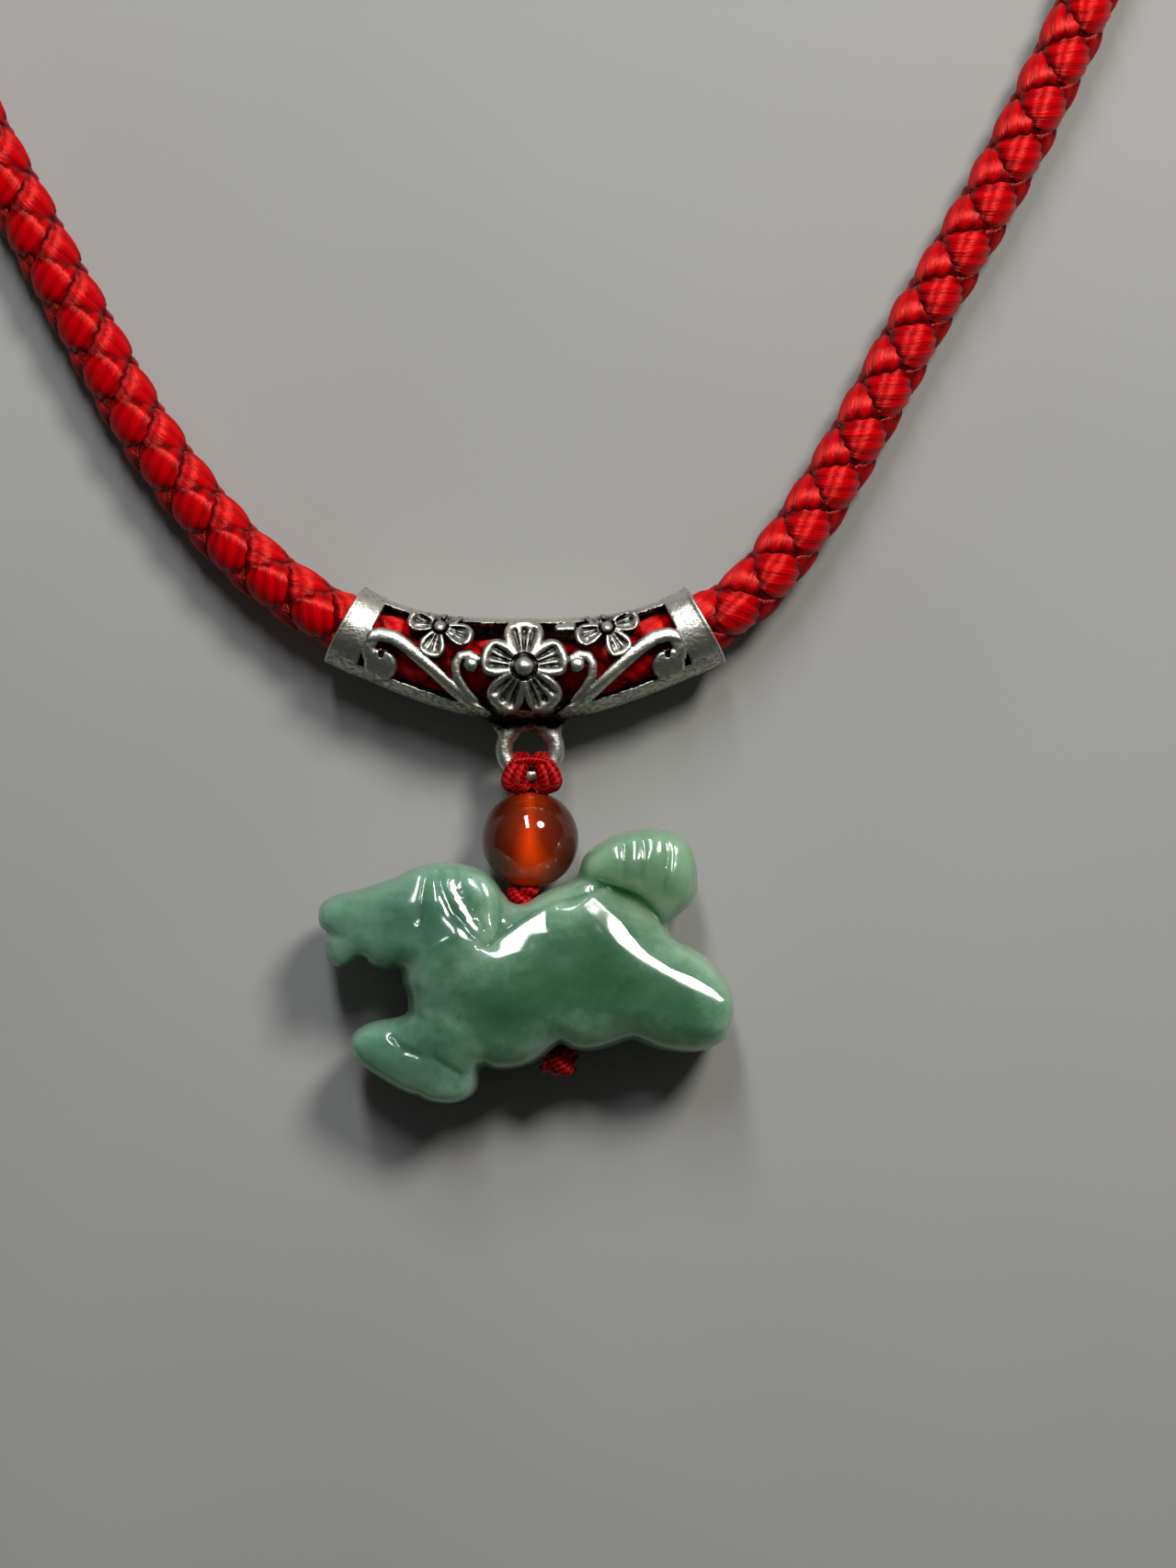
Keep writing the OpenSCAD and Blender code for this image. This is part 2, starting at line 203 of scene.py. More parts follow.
def lamp(name, towards, size, watts, colour):
    """Soft light of a size in mm, hung in a direction from the figure and turned to it."""
    light = bpy.data.lights.new(name, "AREA")
    light.shape = "ELLIPSE" if size[0] == size[1] else "RECTANGLE"
    light.size = size[0] * MM
    light.size_y = size[1] * MM
    light.energy = watts
    light.color = linear(colour)[:3]
    holder = placed(name, light)
    aim = Vector((*photo_mm(*LIT_PIXEL), 0)) * MM
    way = Vector(towards).normalized()
    holder.location = aim + way * LAMP_AWAY * MM
    holder.rotation_euler = way.to_track_quat("Z", "Y").to_euler()


def flat_floor(material):
    """Wide level floor at no height."""
    corners = [(x * FLOOR_HALF, y * FLOOR_HALF, 0) for x, y in ((-1, -1), (1, -1), (1, 1), (-1, 1))]
    mesh = bpy.data.meshes.new("floor")
    mesh.from_pydata(corners, [], [(0, 1, 2, 3)])
    mesh.materials.append(material)
    return placed("floor", mesh)


def room_light(sky, ground, strength):
    """Plain studio room, lighter above the top of the picture than below it."""
    world = bpy.data.worlds.new("room")
    world.use_nodes = True
    tree = world.node_tree
    up_picture = part_of(tree, add(tree, "TexCoord").outputs["Generated"], "Y")
    half = maths(tree, "MULTIPLY_ADD", up_picture, 0.5, 0.5)
    shade = ramp(tree, half, [(0.25, ground), (0.85, sky)])
    background = tree.nodes["Background"]
    tree.links.new(shade, background.inputs["Color"])
    background.inputs["Strength"].default_value = strength
    bpy.context.scene.world = world


# Materials

def linear(hex_colour):
    """sRGB hex to linear RGBA."""
    parts = [int(hex_colour[i:i + 2], 16) / 255 for i in (1, 3, 5)]
    return (*[c / 12.92 if c <= 0.04045 else ((c + 0.055) / 1.055) ** 2.4 for c in parts], 1.0)


def add(tree, kind, settings=(), **links):
    """Adds a node. Settings are its properties or its sockets' values, by name; links are the
    sockets that feed it, by name."""
    node = tree.nodes.new("ShaderNode" + kind)
    for key, value in dict(settings).items():
        if hasattr(node, key):
            setattr(node, key, value)
        else:
            node.inputs[key].default_value = value
    for key, source in links.items():
        tree.links.new(source, node.inputs[key])
    return node


def maths(tree, operation, *terms, kind="Math", output=0):
    """Result of an operation on terms, each a number, a vector or a socket that feeds it."""
    node = add(tree, kind, {"operation": operation})
    for socket, term in zip(node.inputs, terms):
        if isinstance(term, (int, float, tuple)):
            socket.default_value = term
        else:
            tree.links.new(term, socket)
    return node.outputs[output]


def part_of(tree, vector, axis):
    """One part of a vector, "X", "Y" or "Z"."""
    return add(tree, "SeparateXYZ", Vector=vector).outputs[axis]


def remap(tree, value, low, high, to_low, to_high):
    """A value carried from one range to another, and held at its ends."""
    settings = {"From Min": low, "From Max": high, "To Min": to_low, "To Max": to_high}
    return add(tree, "MapRange", settings, Value=value).outputs[0]


def clouded(tree, value, clouds, much):
    """A value made uneven by a pattern, as much up as down."""
    return maths(tree, "ADD", maths(tree, "MULTIPLY_ADD", clouds, much, -much / 2), value)


def tinted(tree, share, colour, tint):
    """A colour mixed by a share with another one, given in hex."""
    return add(tree, "MixRGB", {"Color2": linear(tint)}, Fac=share, Color1=colour).outputs[0]


def object_place(tree):
    """Place in object space, in metres."""
    return add(tree, "TexCoord").outputs["Object"]


def new_material(name, **values):
    """Material with its shader's own values set; gives the material, its tree and the shader."""
    material = bpy.data.materials.new(name)
    material.use_nodes = True
    shader = material.node_tree.nodes["Principled BSDF"]
    for key, value in values.items():
        shader.inputs[key.replace("_", " ")].default_value = value
    return material, material.node_tree, shader


def ramp(tree, fac, stops):
    """Colour ramp from (place, hex) stops."""
    node = add(tree, "ValToRGB", Fac=fac)
    elements = node.color_ramp.elements
    while len(elements) < len(stops):
        elements.new(0.5)
    for element, (place, colour) in zip(elements, stops):
        element.position = place
        element.color = linear(colour)
    return node.outputs["Color"]


def noise(tree, place, size_mm, detail=3.0, roughness=0.5):
    """Cloudy pattern whose spots are about size_mm across, in object space in metres."""
    settings = {"Scale": 1 / (size_mm * MM), "Detail": detail, "Roughness": roughness}
    return add(tree, "TexNoise", settings, Vector=place).outputs["Fac"]


def relief(tree, shader, height, distance_mm, strength=1.0):
    """Bump of a real height on a shader."""
    bump = add(tree, "Bump", {"Strength": strength, "Distance": distance_mm * MM}, Height=height)
    tree.links.new(bump.outputs["Normal"], shader.inputs["Normal"])


def rayon_satin(name, bright, half_shade_red, deep):
    """Filament rayon, twisted to plies and braided: the fibres lie side by side, so they shine in bands
    across their length, red where the light comes back through them; painted shade darkens the colour
    between the strands, towards their sides and between their plies."""
    material, tree, shader = new_material(
        name, Roughness=0.4, IOR=1.54, Specular_IOR_Level=1.0, Specular_Tint=linear("#FF5C52"),
        Anisotropic=1.0, Anisotropic_Rotation=0.25,
        Sheen_Weight=0.05, Sheen_Roughness=0.35, Sheen_Tint=linear("#FF2A20"))
    fibre_way = add(tree, "Tangent", {"direction_type": "UV_MAP", "uv_map": "along_and_across"})
    tree.links.new(fibre_way.outputs[0], shader.inputs["Tangent"])
    # Painted shade: the attribute runs from the full painted shade colour through half shade to the lit
    # red, made uneven in patches as the dye is
    crest_and_painted_shade = add(tree, "Attribute", {"attribute_name": "crest_and_painted_shade"}).outputs["Fac"]
    lit = clouded(tree, crest_and_painted_shade, noise(tree, object_place(tree), 1.6), 0.22)
    colour = ramp(tree, lit, [(0.12, deep), (0.55, half_shade_red), (0.95, bright)])
    tree.links.new(colour, shader.inputs["Base Color"])
    # Fibres are about 0.02 mm; drawn six times as coarse, so that they show
    stretched = add(tree, "Mapping", {"Scale": (0.7, 8.0, 1.0)}, Vector=add(tree, "UVMap").outputs["UV"])
    fibres = add(tree, "TexNoise", {"Scale": 1.0, "Detail": 2.0}, Vector=stretched.outputs[0])
    relief(tree, shader, fibres.outputs["Fac"], 0.16, 0.9)
    return material


def antiqued_silver():
    """White metal, cast, blackened and rubbed bright: soot stays in every recess and pit, the heights are
    rubbed to a soft polish with a faint yellow-green tinge, and painted shade darkens the side that faces
    away from the lamps."""
    material, tree, shader = new_material("cast_white_metal_antiqued", Metallic=1.0, Roughness=0.4)
    place = object_place(tree)
    open_to_air = add(tree, "AmbientOcclusion", {"Distance": 1.2 * MM, "samples": 12, "only_local": True})
    grime = noise(tree, place, 0.45, 6.0, 0.7)
    tarnish = noise(tree, place, 3.5, 2.0)
    wear_and_shade = maths(tree, "MULTIPLY_ADD", grime, 0.95, open_to_air.outputs["AO"])
    wear_and_shade = remap(tree, wear_and_shade, 1.08, 1.56, 0, 1)
    # Nobody rubs the corner where the ring's neck meets the tube
    height = part_of(tree, place, "Y")
    below = remap(tree, height, -5.4 * MM, -4.4 * MM, 0, 0.5)
    above = remap(tree, height, -4.1 * MM, -3.4 * MM, 0, 0.5)
    wear_and_shade = maths(tree, "SUBTRACT", wear_and_shade, maths(tree, "SUBTRACT", below, above))
    # Painted shade: the side that faces down the picture, away from the lamps, is made darker, standing
    # in for the shadowed floor that it reflects
    facing = part_of(tree, add(tree, "NewGeometry").outputs["Normal"], "Y")
    wear_and_shade = maths(tree, "SUBTRACT", wear_and_shade, remap(tree, facing, -0.25, -0.95, 0, 0.34))
    bare = ramp(tree, tarnish, [(0.35, "#C9C8BE"), (0.65, "#E4E2D2")])
    shown = ramp(tree, wear_and_shade, [(0.1, "#000000"), (0.85, "#FFFFFF")])
    colour = add(tree, "MixRGB", {"Color1": linear("#15140F")}, Fac=shown, Color2=bare)
    tree.links.new(colour.outputs[0], shader.inputs["Base Color"])
    tree.links.new(remap(tree, shown, 0, 1, 0.66, 0.36), shader.inputs["Roughness"])
    # The casting is uneven over about a millimetre, with a finer grain on it
    relief(tree, shader, noise(tree, place, 0.9, 5.0, 0.62), 0.16, 0.8)
    return material


def turned_silver():
    """White metal, turned and polished: fine rings from the lathe blur the shine across them."""
    material, tree, shader = new_material(
        "turned_white_metal", Metallic=1.0, Roughness=0.24, Base_Color=linear("#DAD9D0"))
    place = object_place(tree)
    rings = add(tree, "Mapping", {"Scale": (1.0, 0.04, 0.04)}, Vector=place)
    relief(tree, shader, noise(tree, rings.outputs[0], 0.18, 2.0), 0.012, 0.6)
    smudges = noise(tree, place, 4.0, 3.0)
    tree.links.new(remap(tree, smudges, 0, 1, 0.18, 0.34), shader.inputs["Roughness"])
    return material


def carnelian():
    """Banded chalcedony, tumbled to a glassy polish. Its colour holds painted light and shade: orange and
    glowing round the drilled hole, brightest low in the bead where light gathers through it, and
    brown-red and cloudy towards the skin, where less light comes through."""
    material, tree, shader = new_material(
        "carnelian_polished", Roughness=0.04, IOR=1.54, Subsurface_Weight=0.55,
        Subsurface_Radius=(1.0, 0.25, 0.06), Subsurface_Scale=1.8 * MM)
    place = object_place(tree)
    # Painted light: distance to the side of the hole's axis, made less where light gathers low in the
    # bead; the nearer, the brighter and more orange the colour
    settings = {"Location": (-BEAD_AT[0] * MM, 0, 0), "Scale": (1.0, 0.0, 0.0)}
    from_axis = add(tree, "Mapping", settings, Vector=place).outputs[0]
    reach = maths(tree, "LENGTH", from_axis, kind="VectorMath", output="Value")
    share = maths(tree, "MULTIPLY", reach, 1 / (BEAD_R * MM))
    along = part_of(tree, place, "Y")
    low = remap(tree, along, (BEAD_AT[1] - 2.6) * MM, (BEAD_AT[1] + 2.2) * MM, -0.06, 0.3)
    share = maths(tree, "ADD", share, low)
    mixed = maths(tree, "MULTIPLY_ADD", noise(tree, place, 1.8, 4.0), 0.22, share)
    # From painted light, orange round the hole, to painted shade, brown-red at the skin
    stops = [(0.2, "#EA4404"), (0.4, "#B43204"), (0.55, "#7C2204"), (0.78, "#5C1A05"), (1.0, "#461406")]
    tree.links.new(ramp(tree, mixed, stops), shader.inputs["Base Color"])
    return material


def green_jade():
    """Jadeite, carved and waxed to a wet polish: light enters it and clouds it from inside. Painted light
    makes thin edges pale where light would pass through them, the thick middle is deep green, and fine
    white wisps run through it. Towards the tail the stone turns yellowish, towards the head bluish."""
    material, tree, shader = new_material(
        "jadeite_polished", Roughness=0.155, IOR=1.66, Subsurface_Weight=1.0,
        Subsurface_Radius=(0.55, 1.0, 0.75), Subsurface_Scale=9.0 * MM)
    place = object_place(tree)
    # Painted light: the thinner the stone, the paler its colour, standing in for light through it
    thick = add(tree, "Attribute", {"attribute_name": "thick"}).outputs["Fac"]
    depth = clouded(tree, thick, noise(tree, place, 4.5, 6.0, 0.68), 1.3)
    stops = [(0.0, "#83A288"), (0.25, "#5F856B"), (0.48, "#426A4F"), (1.0, "#2C5839")]
    colour = ramp(tree, depth, stops)
    to_tail = maths(tree, "DOT_PRODUCT", place, (1.0, 2.0, 0.0), kind="VectorMath", output="Value")
    colour = tinted(tree, remap(tree, to_tail, -37 * MM, -27 * MM, 0, 0.5), colour, "#748F6C")
    to_head = remap(tree, part_of(tree, place, "X"), -1 * MM, -12 * MM, 0, 0.5)
    colour = tinted(tree, to_head, colour, "#466E60")
    wisps = ramp(tree, noise(tree, place, 2.2, 6.0, 0.6), [(0.48, "#000000"), (0.78, "#565656")])
    colour = tinted(tree, wisps, colour, "#8CAD97")
    tree.links.new(colour, shader.inputs["Base Color"])
    # Hand polish leaves the surface faintly uneven
    relief(tree, shader, noise(tree, place, 1.0, 3.0), 0.025, 0.45)
    return material


def pale_floor():
    """Matt painted board: no shine, a barely visible tooth."""
    material, tree, shader = new_material("painted_board", Roughness=0.85, Specular_IOR_Level=0.2)
    place = object_place(tree)
    colour = ramp(tree, noise(tree, place, 60.0, 2.0), [(0.3, "#979693"), (0.7, "#9D9C99")])
    tree.links.new(colour, shader.inputs["Base Color"])
    relief(tree, shader, noise(tree, place, 0.4, 2.0), 0.01, 0.3)
    return material


# Mesh making

def mesh_piece(name, points, faces, material, attribute=None, uvs=None):
    """Object from points in mm and faces, a list of index arrays of one size each."""
    mesh = bpy.data.meshes.new(name)
    loops = np.concatenate([f.ravel() for f in faces])
    sizes = np.concatenate([np.full(len(f), f.shape[1]) for f in faces])
    mesh.vertices.add(len(points))
    mesh.vertices.foreach_set("co", (np.asarray(points) * MM).astype(np.float32).ravel())
    mesh.loops.add(len(loops))
    mesh.loops.foreach_set("vertex_index", loops.astype(np.int32))
    mesh.polygons.add(len(sizes))
    mesh.polygons.foreach_set("loop_start", np.concatenate([[0], np.cumsum(sizes)[:-1]]).astype(np.int32))
    mesh.update(calc_edges=True)
    mesh.polygons.foreach_set("use_smooth", np.full(len(sizes), True))
    if attribute:
        label, values = attribute
        mesh.attributes.new(label, "FLOAT", "POINT").data.foreach_set("value", values.astype(np.float32))
    if uvs is not None:
        mesh.uv_layers.new(name="along_and_across").data.foreach_set("uv", uvs.astype(np.float32).ravel())
    mesh.validate()
    mesh.materials.append(material)
    return placed(name, mesh)


def grid_of(*axes):
    """Coordinates of a grid's points, one array for each axis."""
    return np.meshgrid(*axes, indexing="ij")


def normalised(v):
    """Vectors turned to unit length."""
    return v / np.linalg.norm(v, axis=-1, keepdims=True)


def step_up(x, low, high):
    """Rises smoothly from 0 to 1 between two values."""
    t = np.clip((x - low) / (high - low), 0, 1)
    return t * t * (3 - 2 * t)


def arc_lengths(points):
    """How far along a line each of its points is."""
    return np.concatenate([[0], np.cumsum(np.linalg.norm(np.diff(points, axis=0), axis=1))])


def at_run(places, run, values):
    """Values given at each point of a line, read at places along it."""
    return np.column_stack([np.interp(places, run, column) for column in values.T])


def even(points, step):
    """The same line with points spaced evenly along it."""
    run = arc_lengths(points)
    places = np.linspace(0, run[-1], max(4, int(round(run[-1] / step)) + 1))
    return at_run(places, run, points)


def spans_through(p, per_span):
    """Smooth curve in spans from point to point; the first point and the last only steer it."""
    t = np.linspace(0, 1, per_span, endpoint=False)[:, None]
    spans = []
    for a, b, c, d in zip(p[:-3], p[1:-2], p[2:-1], p[3:]):
        spans.append(0.5 * (2 * b + (c - a) * t + (2 * a - 5 * b + 4 * c - d) * t ** 2
                            + (3 * b - a - 3 * c + d) * t ** 3))
    return spans


def smooth_line(points, step):
    """Smooth curve through points, sampled evenly."""
    p = np.array(points, float)
    spans = spans_through(np.vstack([2 * p[0] - p[1], p, 2 * p[-1] - p[-2]]), 24)
    return even(np.vstack([*spans, p[-1:]]), step)


def smooth_ring(points, step):
    """Smooth closed curve through points, sampled evenly."""
    p = np.array(points, float)
    spans = spans_through(np.vstack([p[-1:], p, p[:2]]), 12)
    return even(np.vstack([*spans, spans[0][:1]]), step)


class Pile:
    """Meshes joined to one piece as they are made."""

    def __init__(self):
        self.points, self.quads, self.triangles, self.values, self.uvs = [], [], [], [], []
        self.count = 0

    def put(self, points, quads, triangles, values, quad_uvs, triangle_uvs):
        self.points.append(points)
        self.quads.append(quads + self.count)
        self.triangles.append(triangles + self.count)
        self.values.append(values)
        self.uvs.append((quad_uvs, triangle_uvs))
        self.count += len(points)

    def piece(self, name, material):
        uvs = [quads.reshape(-1, 2) for quads, _ in self.uvs]
        uvs += [triangles.reshape(-1, 2) for _, triangles in self.uvs]
        faces = [np.concatenate(self.quads), np.concatenate(self.triangles)]
        return mesh_piece(name, np.concatenate(self.points), faces, material,
                          attribute=("crest_and_painted_shade", np.concatenate(self.values)), uvs=np.concatenate(uvs))


def laid_strand(pile, centre, outward, thick, wide, lay, rows_per_ply, sides, groove, hand, about=None):
    """Twisted strand along a line. Its rows run round it as the plies do, so each ply is
    rows_per_ply rows wide; thick and wide are its half sizes along and across outward. About is
    the middle line of the cord that it belongs to."""
    step = lay / PLIES / rows_per_ply
    turn_rows = PLIES * rows_per_ply
    run = arc_lengths(centre)
    rows = int(run[-1] / step) - turn_rows
    lengths = [rows + turn_rows + 1] + [rows + 1] * (sides - 1)
    starts = np.concatenate([[0], np.cumsum(lengths)])
    i = np.concatenate([np.arange(n) for n in lengths])
    k = np.concatenate([np.full(n, side) for side, n in enumerate(lengths)])
    along = i * step + k * lay / sides
    along = along + (run[-1] - along.max()) / 2
    at = at_run(along, run, centre)
    thick, wide = (np.interp(along, run, size * np.ones(len(run))) for size in (thick, wide))
    heading = normalised(at_run(along, run, normalised(np.gradient(centre, axis=0))))
    out = at_run(along, run, outward)
    out = normalised(out - heading * np.sum(out * heading, axis=1, keepdims=True))
    aside = np.cross(heading, out)
    # The seam between the last side and the first is on the inner face
    psi = 2 * PI * k / sides + PI
    crest_and_painted_shade = 0.5 - 0.5 * np.cos(2 * PI * i / rows_per_ply)
    swell = 1 - groove * (1 - crest_and_painted_shade) ** 1.3
    high = thick * np.cos(psi) * swell
    across = wide * hand * np.sin(psi) * swell
    points = at + out * high[:, None] + aside * across[:, None]

    def index(row, side):
        wrapped = side == sides
        return starts[np.where(wrapped, 0, side)] + row + np.where(wrapped, turn_rows, 0)

    r, s = [a.ravel() for a in grid_of(np.arange(rows), np.arange(sides))]
    quads = np.column_stack([index(r, s), index(r, s + 1), index(r + 1, s + 1), index(r + 1, s)])
    girth = PI * (thick.mean() + wide.mean()) / sides
    u = np.column_stack([s, s + 1, s + 1, s]) * girth
    v = np.column_stack([r, r, r + 1, r + 1]) * step
    # End caps: a fan from the middle of each end's loop
    loops = []
    for row in (0, rows):
        ring = [index(np.array(row), np.array(side)) for side in range(sides)]
        seam = [starts[0] + row + back for back in range(turn_rows, 0, -1)]
        loops.append(np.array(ring + seam, int))
    middles = np.array([points[loop].mean(axis=0) for loop in loops])
    first, last = len(points), len(points) + 1
    fans = np.vstack([
        np.column_stack([np.full(len(loops[0]), first), np.roll(loops[0], -1), loops[0]]),
        np.column_stack([np.full(len(loops[1]), last), loops[1], np.roll(loops[1], -1)]),
    ])
    if hand < 0:
        quads, u, v, fans = (table[:, ::-1] for table in (quads, u, v, fans))
    points = np.vstack([points, middles])
    # A thread alone gets painted shade only between its plies
    shown = np.concatenate([crest_and_painted_shade, [0.5, 0.5]])
    if about is not None:
        # Painted shade: the colour is darkened between the strands, towards a strand's own sides and, a
        # little, between its plies, where light falls off
        reach = np.linalg.norm(points[:-2] - at_run(along, run, about), axis=1)
        strand_top_lit = step_up(np.cos(psi), 0.2, 0.95)
        shown[:-2] = step_up(reach, *SHADE_REACH) * (0.8 + 0.2 * crest_and_painted_shade) * (0.5 + 0.5 * strand_top_lit)
    pile.put(points, quads, fans, shown, np.stack([u, v], axis=-1), np.zeros((len(fans), 3, 2)))


def side_and_up(line):
    """For a line that runs level, the direction to its outer side and the one above it."""
    heading = normalised(np.gradient(line, axis=0))
    side = normalised(np.cross(heading, [0, 0, 1]))
    return side, np.cross(side, heading)


# Cord and clasp

def braid_pair(name, line, first_pair, material):
    """Two of the four strands, opposite each other; the other pair winds the other way."""
    side, up = side_and_up(line)
    run = arc_lengths(line)
    turned = 2 * PI * run / BRAID_PITCH
    over = np.tanh(CROSS_OVER * np.cos(2 * (turned - TOP_COLUMN))) / np.tanh(CROSS_OVER)
    if not first_pair:
        over = -over
    pile = Pile()
    for strand in (0, 1):
        if first_pair:
            angle = turned + strand * PI
        else:
            angle = -turned + strand * PI + 2 * TOP_COLUMN
        outward = np.cos(angle)[:, None] * side + np.sin(angle)[:, None] * up
        reach = STRAND_MEAN_R + STRAND_WEAVE * over
        wide = STRAND_WIDE * (1 + STRAND_SPREAD * over)
        laid_strand(pile, line + outward * reach[:, None], outward, STRAND_THICK, wide,
                    quick_or(1) * PLY_LAY, ROWS_PER_PLY, quick_or(PLY_SIDES), PLY_GROOVE, -1, line)
    return pile.piece(name, material)


def lathe(name, profile, centre, axis, segments, material):
    """Closed profile of (along, radius) points turned round an axis, "X" or "Y"."""
    profile = np.array(profile, float)
    turn = 2 * PI * np.arange(segments) / segments
    along = np.repeat(profile[:, 0], segments)
    radius = np.repeat(profile[:, 1], segments)
    angle = np.tile(turn, len(profile))
    round_a, round_b = radius * np.cos(angle), radius * np.sin(angle)
    points = np.column_stack([along, round_a, round_b] if axis == "X" else [round_b, along, round_a])
    i, k = [a.ravel() for a in grid_of(np.arange(len(profile)), np.arange(segments))]
    j, m = (i + 1) % len(profile), (k + 1) % segments
    quads = np.column_stack([i * segments + k, i * segments + m, j * segments + m, j * segments + k])
    return mesh_piece(name, points + np.array(centre), [quads], material)


def rounded(corner, before, after, r, steps=6):
    """Arc that rounds a square corner of a profile."""
    corner, before, after = (np.array(v, float) for v in (corner, before, after))
    start = corner + normalised(before - corner) * r
    end = corner + normalised(after - corner) * r
    hub = start + end - corner
    turn = np.linspace(0, PI / 2, steps)[:, None]
    return list(hub + (start - hub) * np.cos(turn) + (end - hub) * np.sin(turn))


def barrel_clasp(material):
    """Plain turned barrel with a blind socket in each end."""
    half, floor = CLASP_LEN / 2, CLASP_LEN / 2 - SOCKET_DEEP
    outline = [(-half, CLASP_R), (half, CLASP_R), (half, SOCKET_R), (floor, SOCKET_R), (floor, PIN_R),
               (-floor, PIN_R), (-floor, SOCKET_R), (-half, SOCKET_R)]
    rims = {0: RIM_EASE, 1: RIM_EASE, 2: SOCKET_EASE, 7: SOCKET_EASE}
    profile = []
    for n, corner in enumerate(outline):
        if n in rims:
            profile += rounded(corner, outline[n - 1], outline[(n + 1) % len(outline)], rims[n])
        else:
            profile.append(np.array(corner))
    return lathe("clasp_barrel", profile[::-1], CLASP_AT, "X", 96, material)


def drilled_bead(material):
    """Round bead with a hole whose rims are eased."""
    edge = np.arcsin((BEAD_HOLE_R + BEAD_EASE) / BEAD_R)
    sweep = np.linspace(edge, PI - edge, 72)
    ball = [(-BEAD_R * np.cos(a), BEAD_R * np.sin(a)) for a in sweep]
    tip = BEAD_R * np.cos(edge)
    ease = np.linspace(0, PI / 2, 6)[1:]
    right = [(tip - BEAD_EASE * (1 - np.cos(a)), BEAD_HOLE_R + BEAD_EASE * (1 - np.sin(a)))
             for a in ease]
    left = [(-y, r) for y, r in right[::-1]]
    return lathe("carnelian_bead_drilled", ball + right + left, BEAD_AT, "Y", 128, material)


# Solids from a distance field

def surface_of(field, low, step):
    """Surface where a sampled field changes sign, as points and quads: one point for each cell
    that the surface crosses, at the mean of its crossings."""
    inside = field < 0
    corners = list(np.ndindex(2, 2, 2))
    n = [s - 1 for s in field.shape]

    def corner_view(data, c):
        return data[c[0]:c[0] + n[0], c[1]:c[1] + n[1], c[2]:c[2] + n[2]]

    total = sum(corner_view(inside, c).astype(np.int8) for c in corners)
    cells = np.argwhere((total > 0) & (total < 8))
    values = {c: field[cells[:, 0] + c[0], cells[:, 1] + c[1], cells[:, 2] + c[2]] for c in corners}
    place = np.zeros((len(cells), 3))
    hits = np.zeros(len(cells))
    for a in corners:
        for axis in range(3):
            if a[axis]:
                continue
            b = tuple(1 if i == axis else a[i] for i in range(3))
            va, vb = values[a], values[b]
            cross = (va < 0) != (vb < 0)
            share = np.where(cross, va / np.where(cross, va - vb, 1), 0)
            spot = np.tile(np.array(a, float), (len(cells), 1))
            spot[:, axis] += share
            place += spot * cross[:, None]
            hits += cross
    points = np.array(low) + (cells + place / hits[:, None]) * step
    number = np.full(n, -1, np.int64)
    number[tuple(cells.T)] = np.arange(len(cells))
    quads = []
    for axis in range(3):
        u, v = [(1, 2), (2, 0), (0, 1)][axis]
        first = [slice(1, -1)] * 3
        first[axis] = slice(0, -1)
        second = list(first)
        second[axis] = slice(1, None)
        here, there = inside[tuple(first)], inside[tuple(second)]
        edges = np.argwhere(here != there)
        outward = here[tuple(edges.T)]
        base = edges + 1
        base[:, axis] -= 1
        ring = []
        for du, dv in [(-1, -1), (0, -1), (0, 0), (-1, 0)]:
            cell = base.copy()
            cell[:, u] += du
            cell[:, v] += dv
            ring.append(number[tuple(cell.T)])
        ring = np.column_stack(ring)
        quads.append(np.where(outward[:, None], ring, ring[:, ::-1]))
    return points, np.concatenate(quads)


def settle(points, field_at, step, rounds=3):
    """Moves points onto the field's surface along its gradient."""
    nudge = step * 0.12
    for _ in range(rounds):
        value = field_at(points)
        slope = np.empty_like(points)
        for axis in range(3):
            offset = np.zeros(3)
            offset[axis] = nudge
            slope[:, axis] = (field_at(points + offset) - field_at(points - offset)) / (2 * nudge)
        # Where the field is nearly level, and along sharp edges, a point moves only a little
        size = np.maximum(np.sum(slope ** 2, axis=1), 0.15)
        move = -(value / size)[:, None] * slope
        reach = np.linalg.norm(move, axis=1, keepdims=True)
        points = points + move * np.minimum(1, 0.45 * step / np.maximum(reach, 1e-9))
    return points


def blended(a, b, ease):
    """Union of two fields with a soft fillet."""
    h = np.clip(0.5 + 0.5 * (b - a) / ease, 0, 1)
    return b * (1 - h) + a * h - ease * h * (1 - h)


def carved(a, cut, ease):
    """A field with a cut taken out of it, with eased edges."""
    return -blended(-a, cut, ease)


def beside(x, y, start, end):
    """For places in the picture plane, the share of a segment at which its nearest spot lies,
    and how far off that spot they are in x and in y."""
    dx, dy = end[0] - start[0], end[1] - start[1]
    t = np.clip(((x - start[0]) * dx + (y - start[1]) * dy) / (dx * dx + dy * dy), 0, 1)
    return t, x - start[0] - t * dx, y - start[1] - t * dy


def near_line(x, y, nodes):
    """How far places are outside a stroke, and how far across it they lie as a share of its
    half width. Nodes are (x, y, half width)."""
    gap = np.full(np.shape(x), np.inf)
    share = np.full(np.shape(x), np.inf)
    for start, end in zip(nodes[:-1], nodes[1:]):
        t, off_x, off_y = beside(x, y, start, end)
        d = np.hypot(off_x, off_y)
        w = start[2] + (end[2] - start[2]) * t
        closer = d - w < gap
        gap = np.where(closer, d - w, gap)
        share = np.where(closer, d / w, share)
    return gap, share


def capsule(p, a, b, ra, rb):
    """Field of a tapered rod between two points."""
    a, b = np.array(a, float), np.array(b, float)
    way = b - a
    t = np.clip((p - a) @ way / (way @ way), 0, 1)
    return np.linalg.norm(p - a - t[:, None] * way, axis=1) - (ra + (rb - ra) * t)


# Bail

